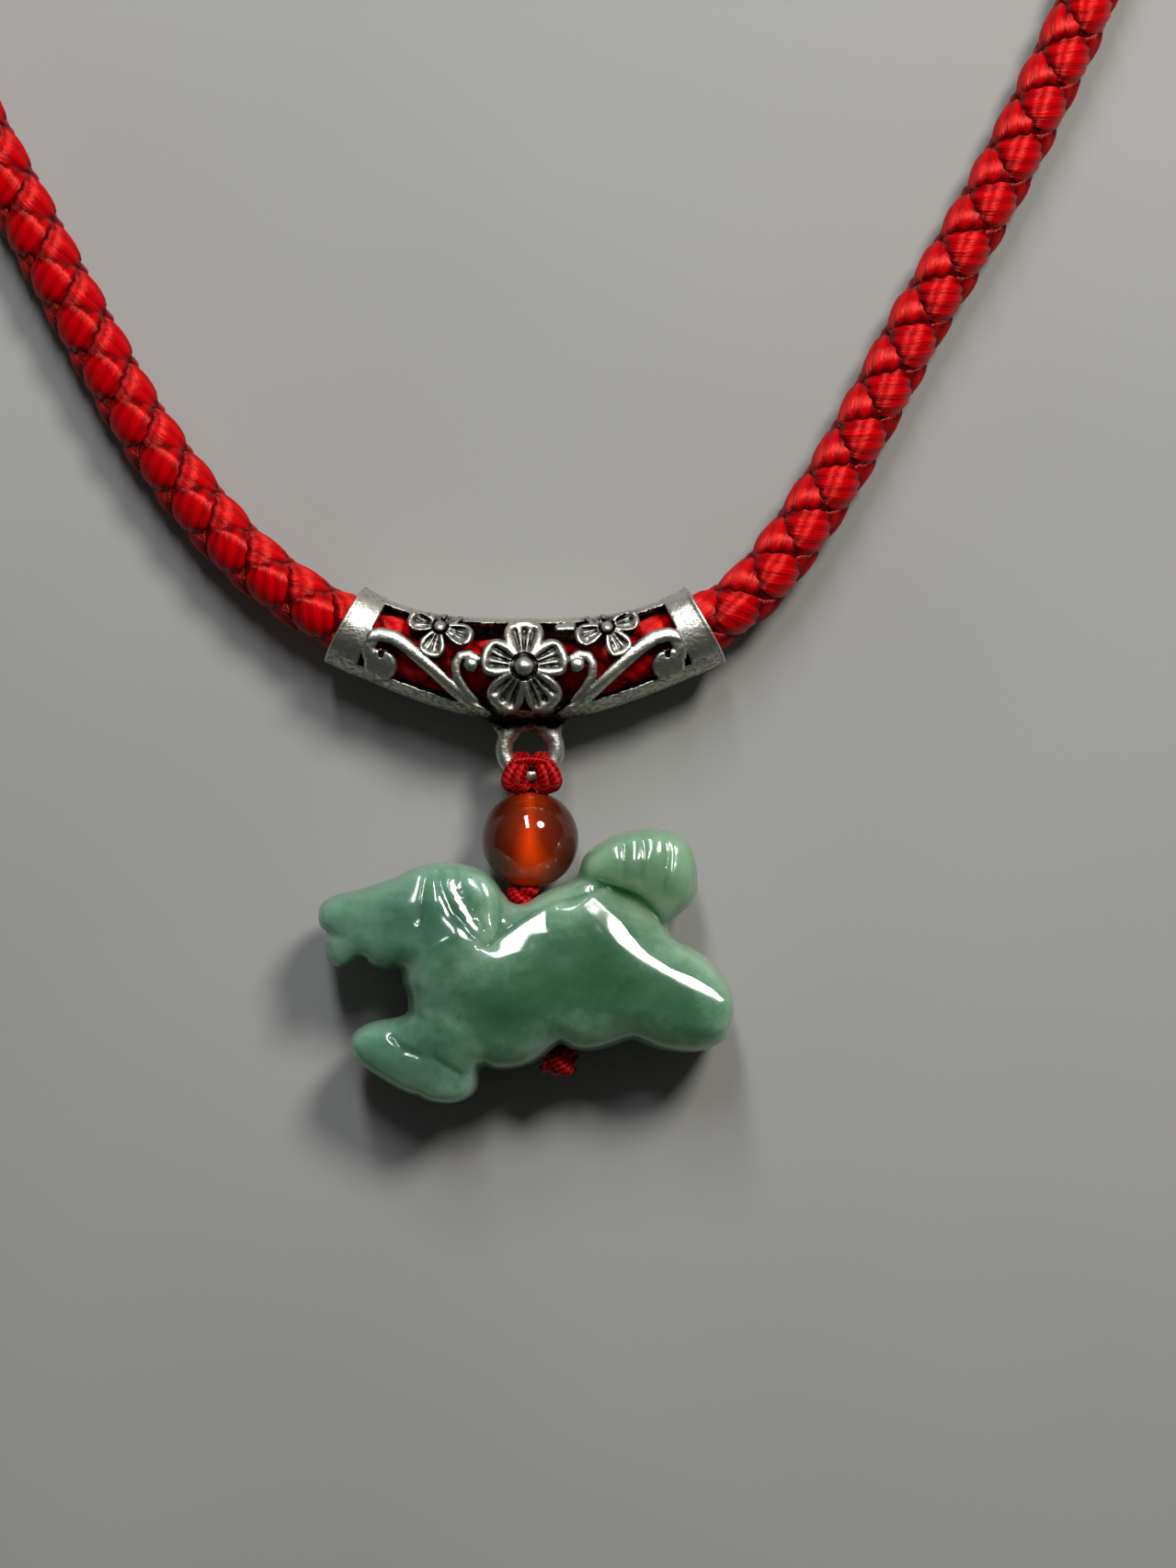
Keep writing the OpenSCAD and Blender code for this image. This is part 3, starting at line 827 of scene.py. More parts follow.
def ridge(x, high, at, wide):
    """Height of a soft ridge that runs where x has the value at."""
    return high * np.exp(-((x - at) / wide) ** 2)


def domed(share, power=2):
    """Height of a rounded back from its middle, at 0, to its edge, at 1."""
    return np.sqrt(np.clip(1 - share ** power, 0, 1))


def ball_top(r, d):
    """Height of a ball at a distance from its middle."""
    return np.sqrt(np.clip(r ** 2 - d ** 2, 0, None))


def tube_r(angle):
    """Outer radius of the tube between its bands."""
    share = np.minimum(1, np.abs(angle) / BAND_ANGLE)
    return END_R + (MID_R - END_R) * (1 + np.cos(PI * share)) / 2


# A petal's outline: where it is widest, its width at the root, both as shares, and how square it
# is; the directions of its ribs from its own, and the half width of one, in degrees
WIDEST_AT = 0.62
ROOT_WIDTH = 0.42
SQUARE = 2.4
RIB_WAYS = (-16, -1, 15)
RIB_WIDE = 4.6
# How high a flower's ball is set; the sunk ring round it reaches this share of the ball's radius,
# has a floor at a height, and petals end in it at another
BALL_LIFT = 0.32
SUNK_REACH = 1.35
SUNK_FLOOR = 0.12
SUNK_PETALS = 0.18
# Flowers: middle, radius of the centre ball, and for each petal its direction in degrees, its
# reach from the middle and its width
MAIN_FLOWER = ((0.0, 0.13), 0.83, [
    (91, 3.95, 3.3), (163, 3.65, 3.2), (17, 3.65, 3.2), (237, 4.15, 3.1), (304, 4.15, 3.1)])
LEFT_FLOWER = ((-6.86, 3.45), 0.5, [
    (166, 2.75, 1.75), (249, 2.75, 2.2), (338, 2.85, 1.9), (40, 2.1, 1.5), (103, 1.9, 1.5)])
RIGHT_FLOWER = ((6.71, 3.4), 0.5, [
    (18, 2.75, 1.9), (303, 2.75, 2.2), (202, 2.75, 1.9), (140, 2.1, 1.5), (77, 1.9, 1.5)])
# Flowers with the height of their petals' rims and of the ribs on them
FLOWERS = [(MAIN_FLOWER, 0.798, 0.275), (LEFT_FLOWER, 0.684, 0.2), (RIGHT_FLOWER, 0.684, 0.2)]

# Scroll work on the left side, as strokes of (x, y, half width), and how high each stands; the
# right side mirrors it. A ball ends the branch, and the lobe is a disc with a groove curled in.
STEM = [(-12.6, 2.5, 0.55), (-11.7, 2.75, 0.62), (-10.6, 2.5, 0.64), (-9.6, 1.85, 0.6),
        (-8.6, 1.0, 0.56), (-7.2, -0.3, 0.52), (-5.7, -1.75, 0.5), (-4.2, -3.0, 0.48), (-2.9, -3.9, 0.45)]
BRANCH = [(-3.9, 0.75, 0.42), (-4.5, 1.1, 0.42), (-5.15, 1.0, 0.42), (-5.55, 0.35, 0.4),
          (-5.5, -0.7, 0.4), (-4.9, -1.8, 0.42), (-4.1, -2.8, 0.45)]
BRANCH_BALL = (-4.3, 0.3, 0.66)
LOBE = (-11.75, 0.3, 1.36)
LOBE_LIFT = 0.42
# Ridge round the lobe: height, place and half width as shares of its radius
LOBE_RIM = (0.06, 0.82, 0.12)
LOBE_NECK = [(-12.2, 2.5, 0.6), (-12.65, 1.8, 0.55), (-12.6, 1.1, 0.6)]
LOBE_GROOVE = [(-10.1, 0.8, 0.22), (-10.5, 1.4, 0.25), (-11.1, 1.72, 0.24), (-11.6, 1.5, 0.2),
               (-11.65, 1.05, 0.14)]
SCROLLS = ((STEM, 0.5), (BRANCH, 0.42), (LOBE_NECK, 0.4))
# Small leaf between the middle flower and the right one
BUD = [(2.75, 3.35, 0.3), (3.9, 3.45, 0.36)]
BUD_LIFT = 0.3


def petal(x, y, middle, direction, reach, width, lift, ribs):
    """How far places are outside one petal, and how high it stands there."""
    c, s = np.cos(np.radians(direction)), np.sin(np.radians(direction))
    along = (x - middle[0]) * c + (y - middle[1]) * s
    across = -(x - middle[0]) * s + (y - middle[1]) * c
    widest = WIDEST_AT * reach
    u = np.where(along > widest, (along - widest) / (reach - widest), (widest - along) / (widest * 1.12))
    v = across / (width / 2 * (ROOT_WIDTH + 0.58 * step_up(along, 0, widest)))
    g = (np.abs(u) ** SQUARE + np.abs(v) ** SQUARE) ** (1 / SQUARE)
    gap = (g - 1) * width * 0.42
    gap = np.where(along < 0, np.maximum(gap, -along), gap)
    # Rolled rim, a floor that falls to the middle, and ribs that fan out from it
    dish = np.clip(1 - g, 0, 1)
    height = lift * domed(g, 5) - lift * 0.62 * step_up(dish, 0.05, 0.75)
    fan = np.degrees(np.arctan2(across, np.maximum(along, 0.05)))
    ribbed = sum(ridge(fan, 1, way, RIB_WIDE) for way in RIB_WAYS)
    shown = step_up(along / reach, 0.2, 0.4) * (1 - step_up(along / reach, 0.72, 0.86))
    height = height - ribs * ribbed * shown
    return gap, height


def ornament(x, y):
    """How far places in the picture plane are outside the openwork's metal, and how high the
    relief stands on the tube there."""
    outside = np.full(np.shape(x), np.inf)
    height = np.zeros(np.shape(x))

    def lay(gap, raised):
        nonlocal outside, height
        height = np.where(gap < 0, np.maximum(height, raised), height)
        outside = np.minimum(outside, gap)

    for side in (-1, 1):
        mx = x * -side
        for stroke, lift in SCROLLS:
            gap, share = near_line(mx, y, stroke)
            lay(gap, lift * domed(share) ** 0.8)
        bx, by, br = BRANCH_BALL
        d = np.hypot(mx - bx, y - by)
        lay(d - br, 0.1 + ball_top(br, d) * 0.95)
        lx, ly, lr = LOBE
        d = np.hypot(mx - lx, y - ly)
        dome = LOBE_LIFT * domed(d / lr, 4) + ridge(d / lr, *LOBE_RIM)
        groove, _ = near_line(mx, y, LOBE_GROOVE)
        lay(np.maximum(d - lr, -groove - 0.14), dome - 0.5 * (1 - step_up(groove, -0.12, 0.1)))
    gap, share = near_line(x, y, BUD)
    lay(gap, BUD_LIFT * domed(share))
    for (middle, ball, petals), lift, ribs in FLOWERS:
        for direction, reach, width in petals:
            lay(*petal(x, y, middle, direction, reach, width, lift, ribs))
        d = np.hypot(x - middle[0], y - middle[1])
        sunk = ball * SUNK_REACH
        height = np.where(d < sunk, np.minimum(height, SUNK_PETALS), height)
        lay(d - sunk, np.full(np.shape(x), SUNK_FLOOR))
        lay(d - ball, BALL_LIFT + ball_top(ball, d))
    return outside, height


def bail_field(x, y, z, drawn):
    """Field of the whole casting; drawn is what ornament gives for the same places."""
    outside, height = drawn
    reach = np.hypot(x, BEND_R - y)
    off = reach - BEND_R
    angle = np.arctan2(x, BEND_R - y)
    up = z - BAIL_Z
    q = np.hypot(off, up)
    body = tube_r(angle)
    past_band = (np.abs(angle) - BAND_ANGLE) * BEND_R
    from_end = (HALF_ANGLE - np.abs(angle)) * reach
    in_band = step_up(past_band, -0.06, 0.1)
    skin = body * (1 - in_band) + (END_R + BAND_RISE + ridge(from_end, *END_LIP)) * in_band
    bore = body - WALL - 0.05 * in_band
    raised = height * step_up(up, *RELIEF_FADE) * (1 - in_band)
    rail = body - np.abs(off)
    rail_w = np.where(off > 0, LOW_RAIL_W, TOP_RAIL_W)
    bead = ridge(rail - rail_w, *RAIL_BEAD) * step_up(up, 0.0, 0.8) * (1 - in_band)
    shell = np.maximum(q - skin - raised - bead, bore - q)
    shell = carved(shell, from_end, 0.18)
    # The rails' edges are filed unevenly
    rough = 0.05 * np.sin(angle * 190) * np.sin(angle * 71 + 1)
    window = np.minimum(rail - rail_w + rough, -past_band - 0.05)
    window = np.minimum(window, up - FRONT_CUT)
    window = np.minimum(window, outside)
    return np.maximum(shell, window)


def ring_field(p):
    """Hanging ring with a neck that flares into the tube."""
    x, y, z = RING_AT
    round_way = np.hypot(p[:, 0] - x, p[:, 1] - y) - RING_R
    ring = np.hypot(round_way, (p[:, 2] - z) * 0.95) - RING_WIRE_R
    for side in (-1, 1):
        rod = capsule(p, (x + side * 1.75, y + 1.2, z), (side * 2.9 + 0.1, NECK_Y, z), 0.62, 0.42)
        ring = blended(ring, rod, 0.35)
    web = capsule(p, (x - 1.7, WEB_Y, z), (x + 1.5, WEB_Y, z), 0.5, 0.5)
    return blended(ring, web, 0.3)


def bail(material):
    """The casting as one closed mesh."""
    step = quick_or(0.115)
    low = np.array([-16.9, -9.7, -0.1])
    high = np.array([16.9, 7.5, 9.9])
    axes = [np.arange(a, b, step) for a, b in zip(low, high)]
    x, y = grid_of(axes[0], axes[1])
    drawn = [layer[:, :, None] for layer in ornament(x, y)]
    field = bail_field(x[:, :, None], y[:, :, None], axes[2][None, None, :], drawn)
    rows = axes[1] < RING_BELOW
    grid = np.stack(grid_of(axes[0], axes[1][rows], axes[2]), axis=-1)
    near = ring_field(grid.reshape(-1, 3)).reshape(grid.shape[:3])
    field[:, rows, :] = blended(field[:, rows, :], near, RING_FILLET)
    points, quads = surface_of(field, low, step)

    def field_at(p):
        tube = bail_field(p[:, 0], p[:, 1], p[:, 2], ornament(p[:, 0], p[:, 1]))
        return np.where(p[:, 1] < RING_BELOW, blended(tube, ring_field(p), RING_FILLET), tube)

    points = settle(points, field_at, step)
    return thinned(mesh_piece("bail_openwork", points, [quads], material), BAIL_TRIANGLES)


def thinned(piece, most):
    """Collapses the flattest faces until the piece has no more than so many triangles."""
    triangles = sum(len(face.vertices) - 2 for face in piece.data.polygons)
    if triangles <= most:
        return piece
    modifier = piece.modifiers.new("thin", "DECIMATE")
    modifier.ratio = most / triangles
    shown = piece.evaluated_get(bpy.context.evaluated_depsgraph_get())
    mesh = bpy.data.meshes.new_from_object(shown)
    piece.modifiers.clear()
    piece.data = mesh
    return piece


# Jade figure: it is built up of forms, each a slab with its own outline, heights, sloping
# bevel and rounded edge, which run into each other. Outlines and heights are in mm, read off
# the photograph; heights are half the stone's thickness there, the same on both faces.

TRUNK = [
    (-9.6, -25.0), (-8.2, -22.6), (-6.2, -21.4), (-4.8, -21.5), (-3.9, -22.2), (-2.9, -22.3),
    (-2.0, -21.6), (-0.65, -20.6), (1.3, -19.35), (2.8, -18.7), (4.3, -18.3), (5.9, -17.6),
    (8.0, -17.0), (10.0, -18.0), (11.2, -20.0), (12.1, -21.8), (13.6, -22.75), (14.8, -23.5),
    (15.8, -24.5), (16.6, -25.7), (17.05, -27.0), (17.1, -28.4), (16.8, -29.6), (16.15, -30.4),
    (15.1, -31.0), (13.9, -31.3), (12.3, -31.3), (10.9, -31.1), (9.6, -30.6), (8.75, -30.3),
    (7.6, -30.65), (6.2, -31.1), (4.8, -31.25), (3.6, -31.05), (3.0, -30.65), (2.5, -31.0),
    (1.75, -31.6), (0.55, -32.3), (-0.85, -32.7), (-2.25, -32.75), (-3.3, -32.4), (-5.5, -31.3),
    (-7.5, -29.5), (-9.2, -27.8), (-9.4, -26.5),
]
HEAD = [
    (-16.9, -20.1), (-16.75, -19.4), (-16.2, -18.8), (-14.9, -18.3), (-13.5, -18.0), (-11.9, -17.45),
    (-10.45, -16.95), (-9.3, -16.35), (-8.1, -15.95), (-6.9, -15.8), (-5.8, -15.85), (-4.4, -16.1),
    (-3.2, -16.6), (-2.5, -17.3), (-1.9, -18.2), (-1.6, -19.3), (-1.65, -20.6), (-2.0, -21.7),
    (-2.5, -22.5), (-3.6, -23.0), (-5.3, -24.6), (-7.0, -26.2), (-8.6, -26.5), (-9.45, -25.7),
    (-9.75, -24.8), (-10.2, -24.35), (-11.15, -24.55), (-12.1, -24.45), (-12.75, -24.1),
    (-13.05, -23.7), (-13.55, -23.6), (-14.15, -24.0), (-14.8, -24.4), (-15.6, -24.25), (-16.2, -23.6),
    (-16.35, -22.7), (-16.4, -22.0), (-16.1, -21.6), (-16.75, -21.0),
]
SADDLE = [
    (-3.6, -18.0), (-1.9, -18.3), (-1.1, -19.0), (-0.2, -19.1), (1.0, -18.5), (2.4, -17.8),
    (3.6, -17.3), (4.8, -16.8), (6.0, -16.8), (6.5, -18.5), (3.0, -21.5), (0.0, -23.0), (-3.0, -23.0),
    (-4.0, -20.0),
]
TAIL = [
    (5.2, -17.5), (4.7, -17.0), (4.5, -16.2), (4.9, -15.2), (5.7, -14.5), (6.9, -13.8), (8.3, -13.3),
    (9.9, -13.05), (11.35, -13.15), (12.5, -13.55), (13.3, -14.15), (13.8, -15.05), (14.05, -16.0),
    (14.15, -17.2), (14.1, -18.3), (13.5, -19.3), (12.6, -20.1), (11.9, -20.6), (11.2, -20.9),
    (10.5, -19.8), (9.5, -18.8), (8.3, -18.2), (6.6, -17.75),
]
FORELEG = [
    (-9.4, -27.8), (-10.0, -28.3), (-10.9, -28.55), (-12.3, -28.8), (-13.5, -29.3), (-14.2, -30.05),
    (-14.3, -30.8), (-13.75, -31.95), (-12.8, -32.75), (-11.6, -33.6), (-10.5, -34.3), (-9.4, -34.8),
    (-8.65, -34.95), (-8.2, -35.25), (-7.2, -35.5), (-6.0, -35.55), (-4.8, -35.2), (-3.95, -34.5),
    (-3.7, -33.6), (-3.6, -32.5), (-2.6, -31.0), (-3.0, -28.8), (-5.0, -27.2), (-7.4, -26.7),
    (-9.0, -26.8),
]
# Heights at places (x, y, height), which the top of a form passes near
TRUNK_TOP = [
    (-8.0, -23.5, 4.1), (-7.5, -26.5, 4.3), (-5.0, -22.5, 4.45), (-4.5, -25.0, 4.85),
    (-2.2, -23.5, 5.15), (-0.4, -23.0, 5.02), (0.9, -21.2, 4.35), (2.4, -20.0, 4.05),
    (3.8, -19.2, 4.05), (3.4, -20.8, 4.3), (-1.0, -26.5, 5.3), (3.5, -25.5, 5.15), (3.2, -22.2, 4.55),
    (5.2, -20.6, 4.2), (6.2, -18.8, 3.6), (6.3, -21.8, 4.5), (7.4, -22.6, 4.72), (9.0, -23.5, 4.8),
    (8.0, -25.2, 5.1), (11.9, -25.1, 4.84), (11.0, -27.2, 5.2), (15.3, -26.8, 4.78),
    (14.8, -28.6, 4.95), (9.6, -29.2, 5.1), (13.4, -30.3, 4.7), (4.0, -29.6, 4.9), (-1.0, -30.6, 4.6),
    (-6.5, -29.0, 4.3), (10.5, -21.5, 4.6), (13.5, -24.0, 4.7), (16.0, -26.0, 4.7),
]
HEAD_TOP = [
    (-15.7, -22.6, 3.1), (-15.3, -20.0, 2.85), (-12.3, -22.8, 3.8), (-12.0, -19.0, 3.2),
    (-9.8, -22.8, 4.35), (-9.3, -19.5, 3.8), (-9.0, -17.0, 3.05), (-6.3, -16.4, 3.2),
    (-4.2, -16.8, 3.35), (-6.9, -19.0, 4.15), (-6.2, -17.7, 3.72), (-5.0, -19.5, 4.1),
    (-2.9, -19.0, 3.8), (-5.2, -21.6, 4.85), (-3.0, -21.8, 4.5), (-6.6, -22.8, 4.85),
    (-7.5, -24.5, 4.6), (-8.5, -26.0, 4.2),
]
SADDLE_TOP = [(-1.5, -21.0, 3.4), (1.0, -20.0, 3.1), (4.0, -19.5, 3.0)]
TAIL_TOP = [
    (6.2, -15.2, 3.5), (6.0, -16.4, 3.5), (9.0, -14.2, 3.5), (9.0, -15.8, 4.1), (8.6, -17.6, 3.6),
    (12.4, -15.0, 3.5), (12.2, -17.0, 4.05), (11.0, -19.0, 3.1), (13.6, -18.0, 3.5), (12.6, -19.4, 3.0),
]
FORELEG_TOP = [
    (-13.0, -30.6, 2.9), (-9.5, -31.8, 3.5), (-6.0, -34.0, 3.4), (-7.5, -29.0, 4.1),
    (-4.5, -30.2, 4.45), (-5.0, -28.0, 4.6), (-11.0, -29.2, 3.3), (-9.5, -34.0, 3.1),
]
# Bevels at places along the outline: (x, y, height of the bevel's foot, its slope, how softly
# it turns into the top, radius of the rounded edge)
TRUNK_BEVEL = [
    (-3.0, -22.5, 5.4, 0.5, 0.15, 0.3), (-0.6, -20.7, 5.4, 0.5, 0.15, 0.3),
    (1.5, -19.4, 4.6, 0.5, 0.2, 0.35), (3.2, -18.7, 2.9, 1.1, 0.3, 0.5),
    (7.5, -17.3, 3.2, 0.7, 0.5, 0.7), (12.5, -22.2, 5.0, 0.9, 0.4, 0.7),
    (16.2, -25.2, 5.0, 0.9, 0.4, 0.7), (17.0, -28.5, 3.5, 0.9, 0.8, 0.8),
    (14.0, -31.2, 2.8, 0.9, 1.0, 0.9), (8.7, -30.3, 2.8, 0.9, 1.0, 0.9),
    (0.5, -32.2, 2.8, 0.9, 1.0, 0.9), (-7.5, -29.0, 3.0, 0.8, 1.0, 0.9),
]
SADDLE_BEVEL = [(0.0, -20.0, 2.0, 0.9, 0.6, 0.6)]
HEAD_BEVEL = [
    (-16.5, -20.5, 2.2, 0.7, 0.6, 0.7), (-11.9, -17.6, 2.3, 0.8, 0.5, 0.6),
    (-6.9, -16.0, 2.2, 0.9, 0.4, 0.6), (-2.0, -19.0, 2.9, 0.9, 0.4, 0.5),
    (-3.2, -22.6, 4.2, 0.9, 0.5, 0.5), (-11.0, -24.4, 2.7, 0.8, 0.8, 0.8),
]
TAIL_BEVEL = [
    (5.0, -16.0, 2.6, 0.8, 0.7, 0.8), (9.0, -13.3, 2.7, 0.8, 0.8, 0.8),
    (13.8, -17.0, 2.4, 0.9, 0.8, 0.8), (8.5, -18.3, 3.3, 0.6, 0.5, 0.6),
]
FORELEG_BEVEL = [
    (-13.5, -30.8, 2.1, 0.8, 0.7, 0.7), (-6.0, -35.2, 2.5, 0.8, 0.7, 0.8),
    (-4.0, -30.0, 3.2, 0.8, 0.9, 0.9), (-11.0, -34.0, 2.2, 0.8, 0.7, 0.8),
]
# Each form: outline, heights, bevels, and how softly the form joins the ones before it. The head
# joins more softly, by up to NECK_EASE, where it runs into the neck: NECK says how far to the
# left of x = 0 that begins and is full. No form is thinner than LEAST_TOP.
FORMS = {
    "trunk": (TRUNK, TRUNK_TOP, TRUNK_BEVEL, 0.0),
    "saddle": (SADDLE, SADDLE_TOP, SADDLE_BEVEL, 0.25),
    "head": (HEAD, HEAD_TOP, HEAD_BEVEL, 0.3),
    "tail": (TAIL, TAIL_TOP, TAIL_BEVEL, 0.9),
    "foreleg": (FORELEG, FORELEG_TOP, FORELEG_BEVEL, 0.8),
}
NECK = (4.6, 8.0)
NECK_EASE = 1.5
LEAST_TOP = 0.6
# Flats that the carver's wheel left on the shoulder, along the haunch and on the ear: a place on
# each with its height, its slopes, and how softly it turns into the round. The shoulder's ends at
# its right, the ear's at a flute.
SHOULDER_END = (1.8, 4.5)
SHOULDER_FLAT = (-1.0, -22.0, 4.55, 0.05, -0.45, 0.12)
HAUNCH_FLAT = (10.4, -24.2, 4.75, -0.21, -0.385, 0.2)
EAR_FLAT = (-5.0, -19.5, 3.93, -0.25, -0.37, 0.05)
EAR_FLUTE = [(-2.5, -22.4), (-2.9, -21.6), (-3.9, -19.8), (-4.9, -18.0), (-5.6, -16.1)]
# Crest of the haunch, walked with the steep side on the left, and how much steeper that side is
HAUNCH_CREST = [
    (4.5, -17.6), (6.6, -19.4), (7.9, -20.5), (8.7, -21.6), (9.95, -23.0), (11.9, -24.2), (13.8, -25.0),
    (15.3, -25.9), (16.3, -26.8), (18.0, -29.0),
]
HAUNCH_FALL = 0.4
# Flutes and grooves cut in both faces, as strokes of (x, y, half width), with their depth
GROOVES = [
    ([(-7.7, -15.8, 0.3), (-8.0, -17.4, 0.42), (-8.25, -19.2, 0.36), (-8.4, -20.5, 0.2)], 0.5),
    ([(-7.0, -15.8, 0.3), (-6.7, -17.6, 0.42), (-5.7, -19.7, 0.42), (-4.2, -21.5, 0.35),
      (-2.8, -22.5, 0.2)], 0.6),
    ([(-5.6, -16.1, 0.25), (-4.9, -18.0, 0.38), (-3.9, -19.8, 0.36), (-2.9, -21.6, 0.3),
      (-2.5, -22.4, 0.2)], 0.5),
    ([(-17.0, -21.75, 0.3), (-15.8, -21.55, 0.34), (-14.6, -21.8, 0.15)], 0.35),
    ([(8.0, -12.7, 0.3), (8.15, -14.6, 0.4), (8.1, -17.0, 0.2)], 0.45),
    ([(9.4, -12.6, 0.3), (9.7, -14.6, 0.35), (9.5, -17.2, 0.2)], 0.35),
    ([(11.5, -12.8, 0.3), (11.6, -15.0, 0.4), (11.4, -17.8, 0.2)], 0.45),
    ([(-10.6, -29.9, 0.26), (-9.6, -30.9, 0.36), (-8.5, -31.35, 0.26)], 0.5),
    ([(-7.2, -31.6, 0.26), (-6.2, -32.3, 0.36), (-5.2, -32.85, 0.26)], 0.5),
    ([(-9.3, -27.5, 0.5), (-7.0, -27.3, 0.6), (-4.8, -26.9, 0.4)], 0.16),
    ([(-6.95, -29.5, 0.3), (-6.9, -29.55, 0.3)], 0.4),
]


def depth_inside(x, y, ring):
    """How far places are inside a closed curve, negative outside."""
    nearest = np.full(x.shape, np.inf)
    inside = np.zeros(x.shape, bool)
    for (x0, y0), (x1, y1) in zip(ring[:-1], ring[1:]):
        _, off_x, off_y = beside(x, y, (x0, y0), (x1, y1))
        nearest = np.minimum(nearest, off_x ** 2 + off_y ** 2)
        if y0 != y1:
            inside ^= ((y0 > y) != (y1 > y)) & (x < x0 + (y - y0) * (x1 - x0) / (y1 - y0))
    return np.sqrt(nearest) * np.where(inside, 1, -1)


def right_of(x, y, nodes):
    """How far places are to the right of a walked line, negative to its left."""
    nearest = np.full(x.shape, np.inf)
    side = np.zeros(x.shape)
    for (x0, y0), (x1, y1) in zip(nodes[:-1], nodes[1:]):
        _, off_x, off_y = beside(x, y, (x0, y0), (x1, y1))
        d = np.hypot(off_x, off_y)
        closer = d < nearest
        nearest = np.where(closer, d, nearest)
        side = np.where(closer, np.sign((x - x0) * (y1 - y0) - (y - y0) * (x1 - x0)), side)
    return nearest * side


def shared(x, y, places, spread=1.6):
    """Mean of values given at places, by nearness."""
    total = np.zeros(x.shape)
    weights = np.zeros(x.shape)
    for px, py, value in places:
        w = 1 / ((x - px) ** 2 + (y - py) ** 2 + spread ** 2) ** 2
        total += w * value
        weights += w
    return total / weights


def draped(x, y, places, spread=1.7):
    """Smooth surface near given heights: at every spot, the plane that fits the nearest best."""
    sums = np.zeros((3, 3) + x.shape)
    aims = np.zeros((3,) + x.shape)
    for px, py, height in places:
        parts = [np.ones(x.shape), px - x, py - y]
        w = 1 / (parts[1] ** 2 + parts[2] ** 2 + spread ** 2) ** 3
        for i in range(3):
            aims[i] += w * parts[i] * height
            for j in range(3):
                sums[i, j] += w * parts[i] * parts[j]
    # Slopes are held back a little, so that the plane stays level where few places are near
    for i in (1, 2):
        sums[i, i] += 0.6 * sums[0, 0]
    aims = np.moveaxis(aims, 0, -1)[..., None]
    return np.linalg.solve(np.moveaxis(sums, (0, 1), (-2, -1)), aims)[..., 0, 0]


def flattened(top, x, y, flat, spare):
    """Heights cut down to a flat, less where some height is to be spared."""
    at_x, at_y, height, slope_x, slope_y, ease = flat
    return blended(top, height + slope_x * (x - at_x) + slope_y * (y - at_y) + spare, ease)


class CarvedForms:
    """The forms' depths, heights and edges on a fine grid in the picture plane."""

    def __init__(self, low, high, step):
        self.low, self.step = np.array(low), step
        xs, ys = (np.arange(a, b + step, step) for a, b in zip(low, high))
        x, y = grid_of(xs, ys)
        cut = np.zeros(x.shape)
        for stroke, deep in GROOVES:
            _, share = near_line(x, y, stroke)
            cut = cut + deep * np.exp(-1.5 * np.minimum(np.hypot(share, 0.45), 6))
        maps = []
        for name, (outline, tops, bevels, _) in FORMS.items():
            depth = depth_inside(x, y, smooth_ring(outline, 0.3))
            foot, slope, ease, edge = (
                shared(x, y, [(*bevel[:2], bevel[k]) for bevel in bevels]) for k in (2, 3, 4, 5))
            top = draped(x, y, tops)
            if name == "trunk":
                top = flattened(top, x, y, SHOULDER_FLAT, 3 * step_up(x, *SHOULDER_END))
                top = flattened(top, x, y, HAUNCH_FLAT, 0)
                top = top + HAUNCH_FALL * np.minimum(right_of(x, y, HAUNCH_CREST), 0)
            top = blended(top, foot + slope * np.maximum(depth, -1), ease) - cut
            if name == "head":
                spare = 3 * step_up(right_of(x, y, EAR_FLUTE), -0.3, 0.6)
                top = flattened(top, x, y, EAR_FLAT, spare)
            maps += [depth, np.maximum(top, LEAST_TOP), edge]
        maps.append(step_up(-x, *NECK))
        self.maps = np.array(maps)

    def at(self, x, y):
        """The maps at places, between the grid's points."""
        shape = np.shape(x)
        u = (np.ravel(x) - self.low[0]) / self.step
        v = (np.ravel(y) - self.low[1]) / self.step
        i = np.clip(u.astype(int), 0, self.maps.shape[1] - 2)
        j = np.clip(v.astype(int), 0, self.maps.shape[2] - 2)
        u, v = u - i, v - j
        m = self.maps
        found = (m[:, i, j] * (1 - u) * (1 - v) + m[:, i + 1, j] * u * (1 - v)
                 + m[:, i, j + 1] * (1 - u) * v + m[:, i + 1, j + 1] * u * v)
        return found.reshape(len(m), *shape)

    def field(self, up, maps):
        """Field of the carving before it is drilled, from heights and the maps at the places."""
        solid = None
        for n, (name, (_, _, _, join)) in enumerate(FORMS.items()):
            depth, top, edge = maps[3 * n:3 * n + 3]
            flat = np.maximum(1 - depth / edge, 0)
            high = np.abs(up) / top
            both = flat ** 2 + high ** 2 + 1e-9
            scale = (edge * flat ** 2 + top * high ** 2 + 1e-9) / both
            form = (np.sqrt(both) - 1) * scale
            if name == "head":
                join = join + NECK_EASE * maps[-1]
            solid = form if solid is None else blended(solid, form, join)
        return solid


def drilled(solid, p):
    """The hole for the thread and the hollows that its knots sit in."""
    top, end = np.array(HOLE_TOP), np.array(HOLE_EXIT)
    drill = capsule(p, top + (top - end) * 0.4, end + (end - top) * 0.4, DRILL_R, DRILL_R)
    solid = carved(solid, drill, 0.25)
    for at, wide, high in KNOT_HOLLOWS:
        q = (p - np.array(at)) / np.array([wide, high, wide])
        pocket = (np.linalg.norm(q, axis=1) - 1) * high
        solid = carved(solid, pocket, 0.3)
    return solid


